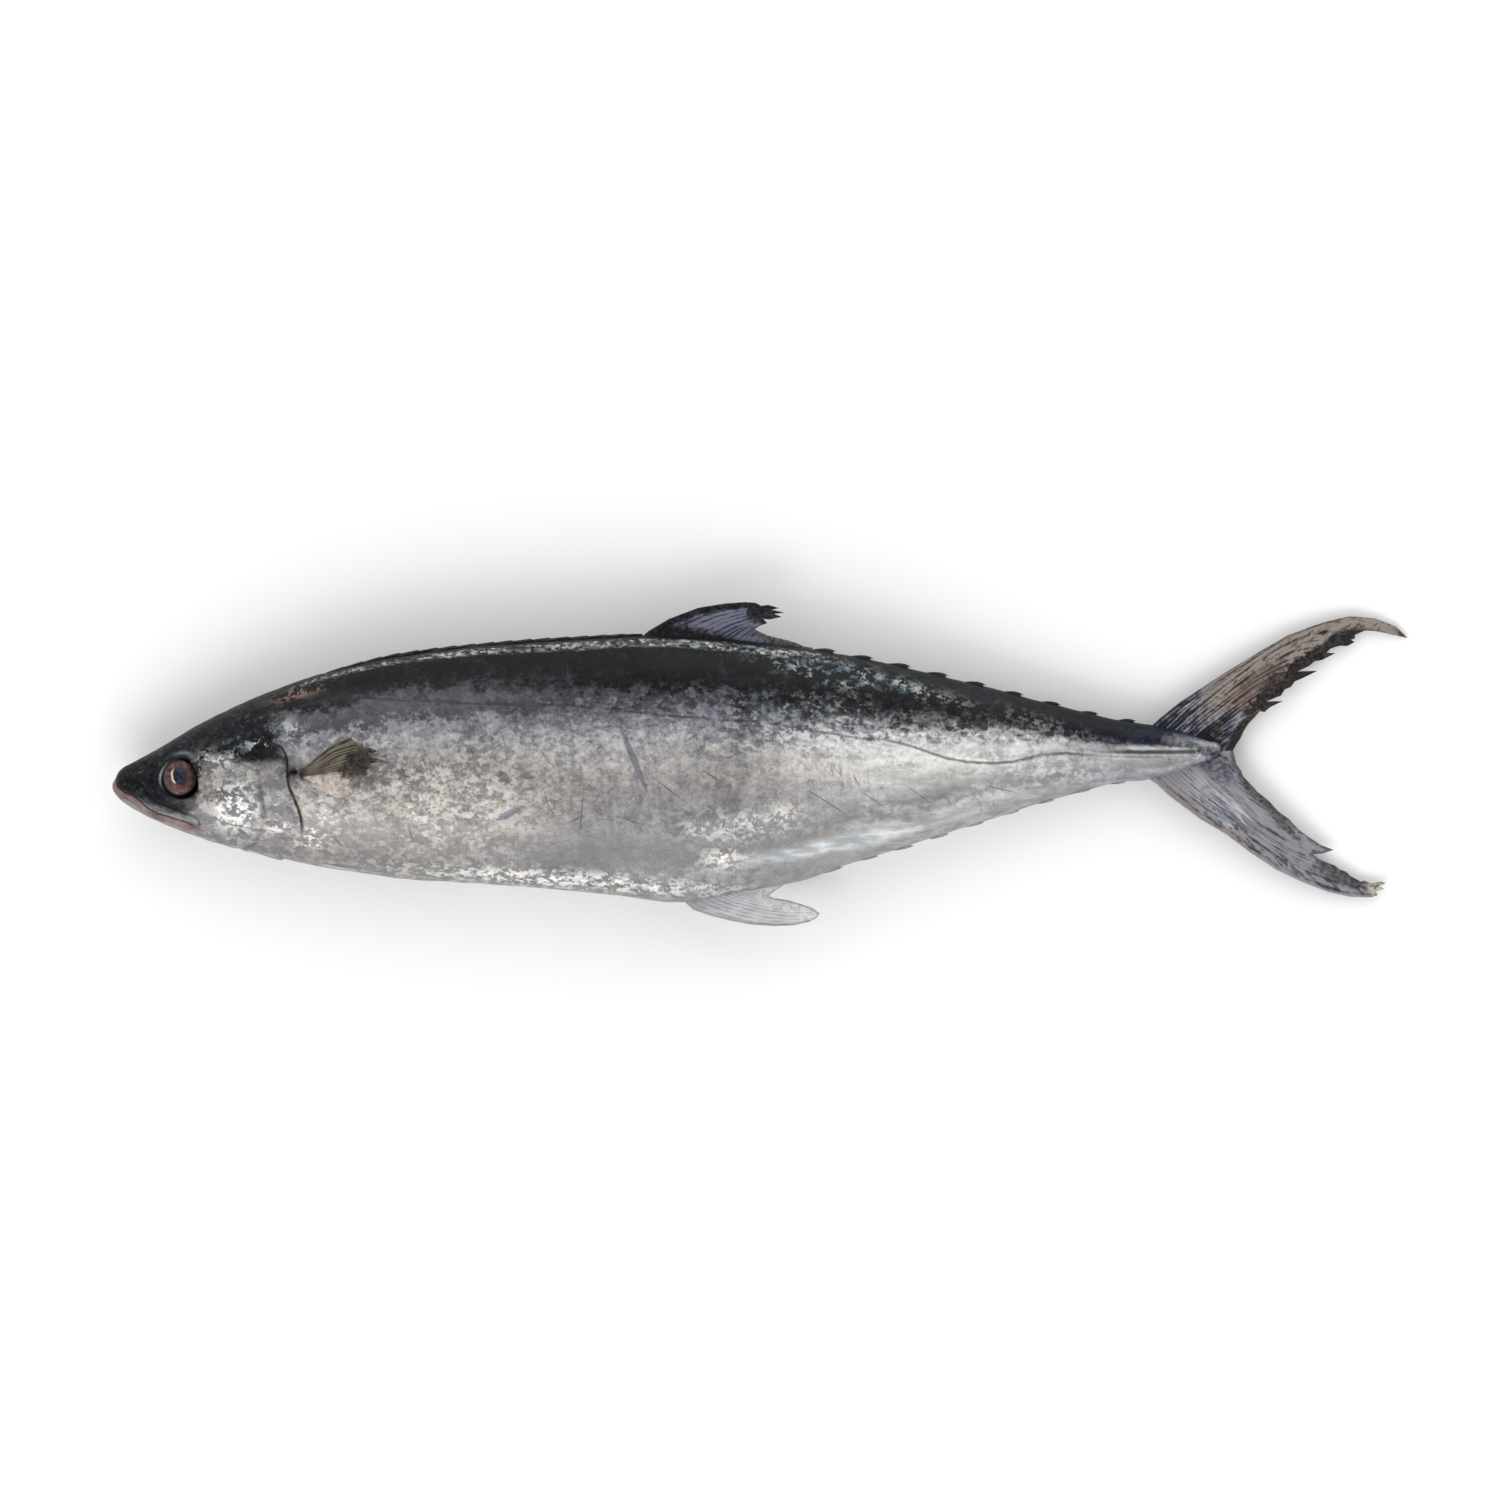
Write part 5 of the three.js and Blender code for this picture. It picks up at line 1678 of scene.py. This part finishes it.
def pelvic(name, node):
    """A short blade that is laid flat against the belly, inside its node's box."""
    low, high = (np.array(c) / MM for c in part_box(node))
    length, count_along, count_across = high[0] - low[0], 26, 9
    a = np.linspace(0, 1, count_along)[:, None]
    b = np.linspace(-1, 1, count_across)[None, :]
    width = 0.5 * (high[2] - low[2]) * np.sin(np.pi * np.clip(a, 0.06, 0.985)) ** 0.55 * (1 - 0.35 * a)
    middle = (low[2] + high[2]) / 2
    x = low[0] + length * a + 0 * b
    across_z = middle + width * b
    belly_at = HEIGHT_0 / MM + belly_line(x - STATION_0 / MM)
    y = belly_at + 0.9 - 0.5 * a + 0.2 * np.cos(b * 14) * (1 - a) + 0.9 * b * b
    half = 0.16 + 0.4 * (1 - a) ** 2 + 0 * b
    upper = np.stack([x, y + half, across_z], -1)
    lower = np.stack([x, y - half, across_z], -1)
    ring = np.concatenate([upper, lower[:, ::-1]], axis=1)
    columns = ring.shape[1]
    faces = grid_faces(count_along, columns)
    last = (count_along - 1) * columns
    faces += [tuple(range(columns)), tuple(range(last + columns - 1, last - 1, -1))]
    piece = make_piece(name, ring.reshape(-1, 3) * MM, faces)
    fix_normals(piece)
    flat = np.broadcast_to((b + 1) / 2, (count_along, count_across))
    set_values(piece, ray=np.concatenate([flat, flat[:, ::-1]], 1), along=a + np.zeros((1, columns)),
               left=(1 - a) * length + np.zeros((1, columns)), lead=5 + np.zeros((count_along, columns)))
    dress(piece, pale.material, node, slot="pale_fin")
    print(name, "faces:", len(piece.data.polygons))


pelvic("left_pelvic", "pelvic_fin_left")
pelvic("right_pelvic", "pelvic_fin_right")

# %% [markdown]
# ## The folded first back fin
#
# The first back fin is folded into its groove: a low dark ridge, with the tips of its spines lying one behind
# the other. The ridge is an outline like the other fins, and the spines are paths for the ray tree.

# %% The ridge
RIDGE_START, RIDGE_END, SPINES = 128, 318, 17


def ridge_top(s):
    """How far the folded fin stands above the back line."""
    ends = np.sin(np.pi * np.clip((s - RIDGE_START) / (RIDGE_END - RIDGE_START), 0, 1)) ** 0.35
    tooth = ((s - RIDGE_START) / (RIDGE_END - RIDGE_START) * SPINES) % 1
    return (1.0 + 0.7 * tooth) * ends


ridge_s = np.linspace(RIDGE_START, RIDGE_END, 153)
top_line = [(float(s), float(back_line(s) + ridge_top(s))) for s in ridge_s]
low_line = [(float(s), float(back_line(s) - 3.0)) for s in np.linspace(RIDGE_START + 1, RIDGE_END - 1, 60)]
low_box, high_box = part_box("first_dorsal_fin")
ridge_z = (low_box.z + high_box.z) / 2 / MM


def ridge_lift(s, y, t):
    """The folded fin stays in the middle of its groove."""
    return ridge_z + 0 * s


def leaning_path(s):
    """A short path that leans back from inside the groove to the ridge's top."""
    along = np.linspace(s, min(s + 9, RIDGE_END), 6)
    return np.stack([along, back_line(along) - np.linspace(3, -1.4, 6)], -1)


ridge_paths = np.stack([leaning_path(s) for s in ridge_s])
ridge = membrane(
    "folded_back_fin", top_line + low_line[::-1], top_line, low_line, ridge_paths, np.linspace(0, 1, 153),
    ridge_lift, 0.6, 1.2)
folded = fin_finish(
    "folded_membrane", colour(62, 64, 68), colour(20, 21, 24), 68, blotch=0.6, stripe_depth=0.5)
folded.surface(folded.tint, 0.45, 0.0, folded.relief, **DARK_SATIN)
dress(ridge, folded.material, "first_dorsal_fin", slot="dark_fin")
print("ridge faces:", len(ridge.data.polygons))

# %% The spines' tips
strips, tapers = [], []
for k in range(SPINES):
    start = RIDGE_START + 2 + (RIDGE_END - RIDGE_START - 16) * k / SPINES
    s = np.linspace(start, min(start + 24, RIDGE_END - 1), 9)
    t = np.linspace(0, 1, 9)
    y = back_line(s) - 0.5 + 1.7 * t * np.clip(ridge_top(s), 0.3, 1.7) / 1.7
    strips.append(place(s, y, ridge_z + 0.55 * (-1) ** k * (1 - 0.6 * t)))
    tapers.append(1 - 0.75 * t)
spines = grow(
    loose_paths("folded_spines", strips, tapers), ray_tree, Radius=0.55 * MM, Joint_Length=1.0,
    Joint_Swell=0.0, Sides=7, Material=slate_ray)
dress(spines, None, "first_dorsal_fin", slot="dark_fin")
print("spine faces:", len(spines.data.polygons))

# %% [markdown]
# ## Finlets by Geometry Nodes
#
# Behind the two sickle fins, a row of tiny flags runs along the back and another along the belly. One flag is
# drawn, and a node tree sets a copy on every point of a row, turned along the fish's outline and shrinking
# towards the tail. One finlet to draw and one table of places is easier to keep right than eighteen shapes.

# %% The tree that sets finlets in a row
row_tree = Tree("finlet_row", Finlet="Object", Size="Float", Material="Material")
seeds = row_tree.add("GeometryNodeMeshToPoints", Mesh=row_tree.given("Geometry")).outputs[0]
shape = row_tree.add(
    "GeometryNodeObjectInfo", {"transform_space": "ORIGINAL"},
    Object=row_tree.given("Finlet")).outputs["Geometry"]
turned = row_tree.add("FunctionNodeEulerToRotation", Euler=row_tree.named("turn", "FLOAT_VECTOR")).outputs[0]
sized = row_tree.math("MULTIPLY", row_tree.named("size"), row_tree.given("Size"))
flags = row_tree.add(
    "GeometryNodeInstanceOnPoints", Points=seeds, Instance=shape, Rotation=turned, Scale=sized).outputs[0]
row_tree.finish(flags)
print("row tree:", len(row_tree.tree.nodes), "nodes")

# %% One finlet
FLAG = {
    "root": [(0.4, -1.6), (6, -1.6), (12, -1.6)],
    "lead": [(0.4, -0.6), (0, 0), (2.4, 1.0), (5, 1.9), (8, 2.6), (10.6, 2.7), (13, 2.2), (15, 1.3)],
    "trail": [(15, 1.3), (13.4, 1.2), (12.6, 0.7), (13.4, 0.2), (12.4, -0.4)],
    "foot": [(12.2, -1.0)]}
FLAG_LENGTH = 15
flag_outline = outline_of(FLAG)
flag_paths = ray_paths(FLAG["root"], FLAG["lead"], FLAG["trail"], np.linspace(0, 1, 40), 16)


def flag_lift(s, y, t):
    """A slight wave along the finlet."""
    return 0.25 * np.sin(s * 0.5) * np.clip(y / 3, 0, 1)


print("finlet outline points:", len(flag_outline))

# %% Rows of finlets
def finlet_row(name, line, first, spacing, length, taper, tall, nodes, finish, slot):
    """A row of finlets along a line of the body. tall is negative where they point down."""
    flag = membrane(
        name + "_one", flag_outline, FLAG["trail"], FLAG["lead"], flag_paths, np.linspace(0, 1, 40),
        flag_lift, 0.35, 0.75)
    for vertex in flag.data.vertices:  # drawn about station 0, so bring it to its own origin
        vertex.co.x -= STATION_0
        vertex.co.y = (vertex.co.y - HEIGHT_0) * tall
    if tall < 0:
        flag.data.flip_normals()
    starts = [first + spacing * i for i in range(len(nodes))]
    points = [tuple(place(s, float(line(s)), float(middle_height(s)))) for s in starts]
    seed = make_piece(name, points, [])
    turns = [math.atan2(float(line(s + 12) - line(s)), 12) for s in starts]
    seed.data.attributes.new("turn", "FLOAT_VECTOR", "POINT").data.foreach_set(
        "vector", np.array([(0, 0, turn) for turn in turns], np.float32).ravel())
    set_values(seed, size=[length / FLAG_LENGTH * (1 - taper * i / len(nodes)) for i in range(len(nodes))])
    grow(seed, row_tree, Finlet=flag, Size=1.0, Material=finish.material)
    bpy.data.objects.remove(flag)
    dress(seed, None, *nodes, slot=slot)
    print(name, "faces:", len(seed.data.polygons))


fin = dark_flag = fin_finish(
    "dark_finlet", colour(58, 58, 62), colour(18, 18, 20), 7, blotch=0.8, stripe_depth=0.4)
fin.cover(
    fin.times(fin.between(fin.read("lead"), 0.9, 0.3), fin.between(fin.crumbs, 0.45, 0.55), 0.5),
    colour(120, 122, 122))
fin.surface(fin.tint, 0.45, 0.0, fin.relief, **DARK_SATIN)
BACK_NODES = [f"dorsal_finlet_{i}" for i in range(1, 10)]
BELLY_NODES = [f"anal_finlet_{i}" for i in range(1, 10)]
finlet_row("back_finlets", back_line, 419, 23, 15, 0.3, 0.8, BACK_NODES, dark_flag, "dark_fin")
finlet_row("belly_finlets", belly_line, 425, 21.6, 14, 0.3, -0.4, BELLY_NODES, pale, "pale_fin")

# %% [markdown]
# ## The floor and the light
#
# A pale table top and a few large soft lamps show wet skin well: silver mirrors whatever is around it, so
# broad lamps make broad soft glints, and the pale surroundings keep the dark back from turning to a hole.

# %% Floor
REACH, LEVEL = 4, -0.0003  # metres each way, and a hair under the fish
corners = [(-REACH, -REACH, LEVEL), (REACH, -REACH, LEVEL), (REACH, REACH, LEVEL), (-REACH, REACH, LEVEL)]
floor = make_piece("floor", corners, [(0, 1, 2, 3)], False)
table = Finish("pale_table")
table.surface(colour(250, 250, 250), 0.9, 0.0, None)
floor.data.materials.append(table.material)
print("floor reaches", REACH, "m each way")

# %% Lamps
def lamp(name, place_at, aim, size, power):
    """A soft rectangular lamp."""
    data = bpy.data.lights.new(name, "AREA")
    data.shape = "RECTANGLE"
    data.size, data.size_y = size
    data.energy = power
    thing = put(name, data)
    thing.location = place_at
    thing.rotation_euler = (Vector(aim) - Vector(place_at)).to_track_quat("-Z", "Y").to_euler()


lamp("key", (-0.6, -1.5, 1.3), (0, 0, 0), (1.8, 1.0), 16)
lamp("fill", (0.8, 1.9, 0.8), (0, 0, 0), (1.8, 1.0), 8)
print("lamps: key and fill")

# %% Sky
sky = bpy.data.worlds.new("soft_room")
sky.use_nodes = True
sky_nodes, sky_links = sky.node_tree.nodes, sky.node_tree.links
direction = sky_nodes.new("ShaderNodeTexCoord").outputs["Generated"]
upward = sky_nodes.new("ShaderNodeSeparateXYZ")
sky_links.new(direction, upward.inputs[0])
walls = sky_nodes.new("ShaderNodeMapRange")  # bright walls all round, and a dim ceiling overhead
for label, value in (("From Min", 0.6), ("From Max", 0.96), ("To Min", 1.0), ("To Max", 0.16)):
    walls.inputs[label].default_value = value
sky_links.new(upward.outputs[2], walls.inputs["Value"])
sky_links.new(walls.outputs[0], sky_nodes["Background"].inputs["Color"])
sky_nodes["Background"].inputs["Strength"].default_value = 1.3
bpy.context.scene.world = sky
bpy.context.scene.view_settings.view_transform = "Standard"
print("sky:", sky.name)

# %% [markdown]
# ## Finish
#
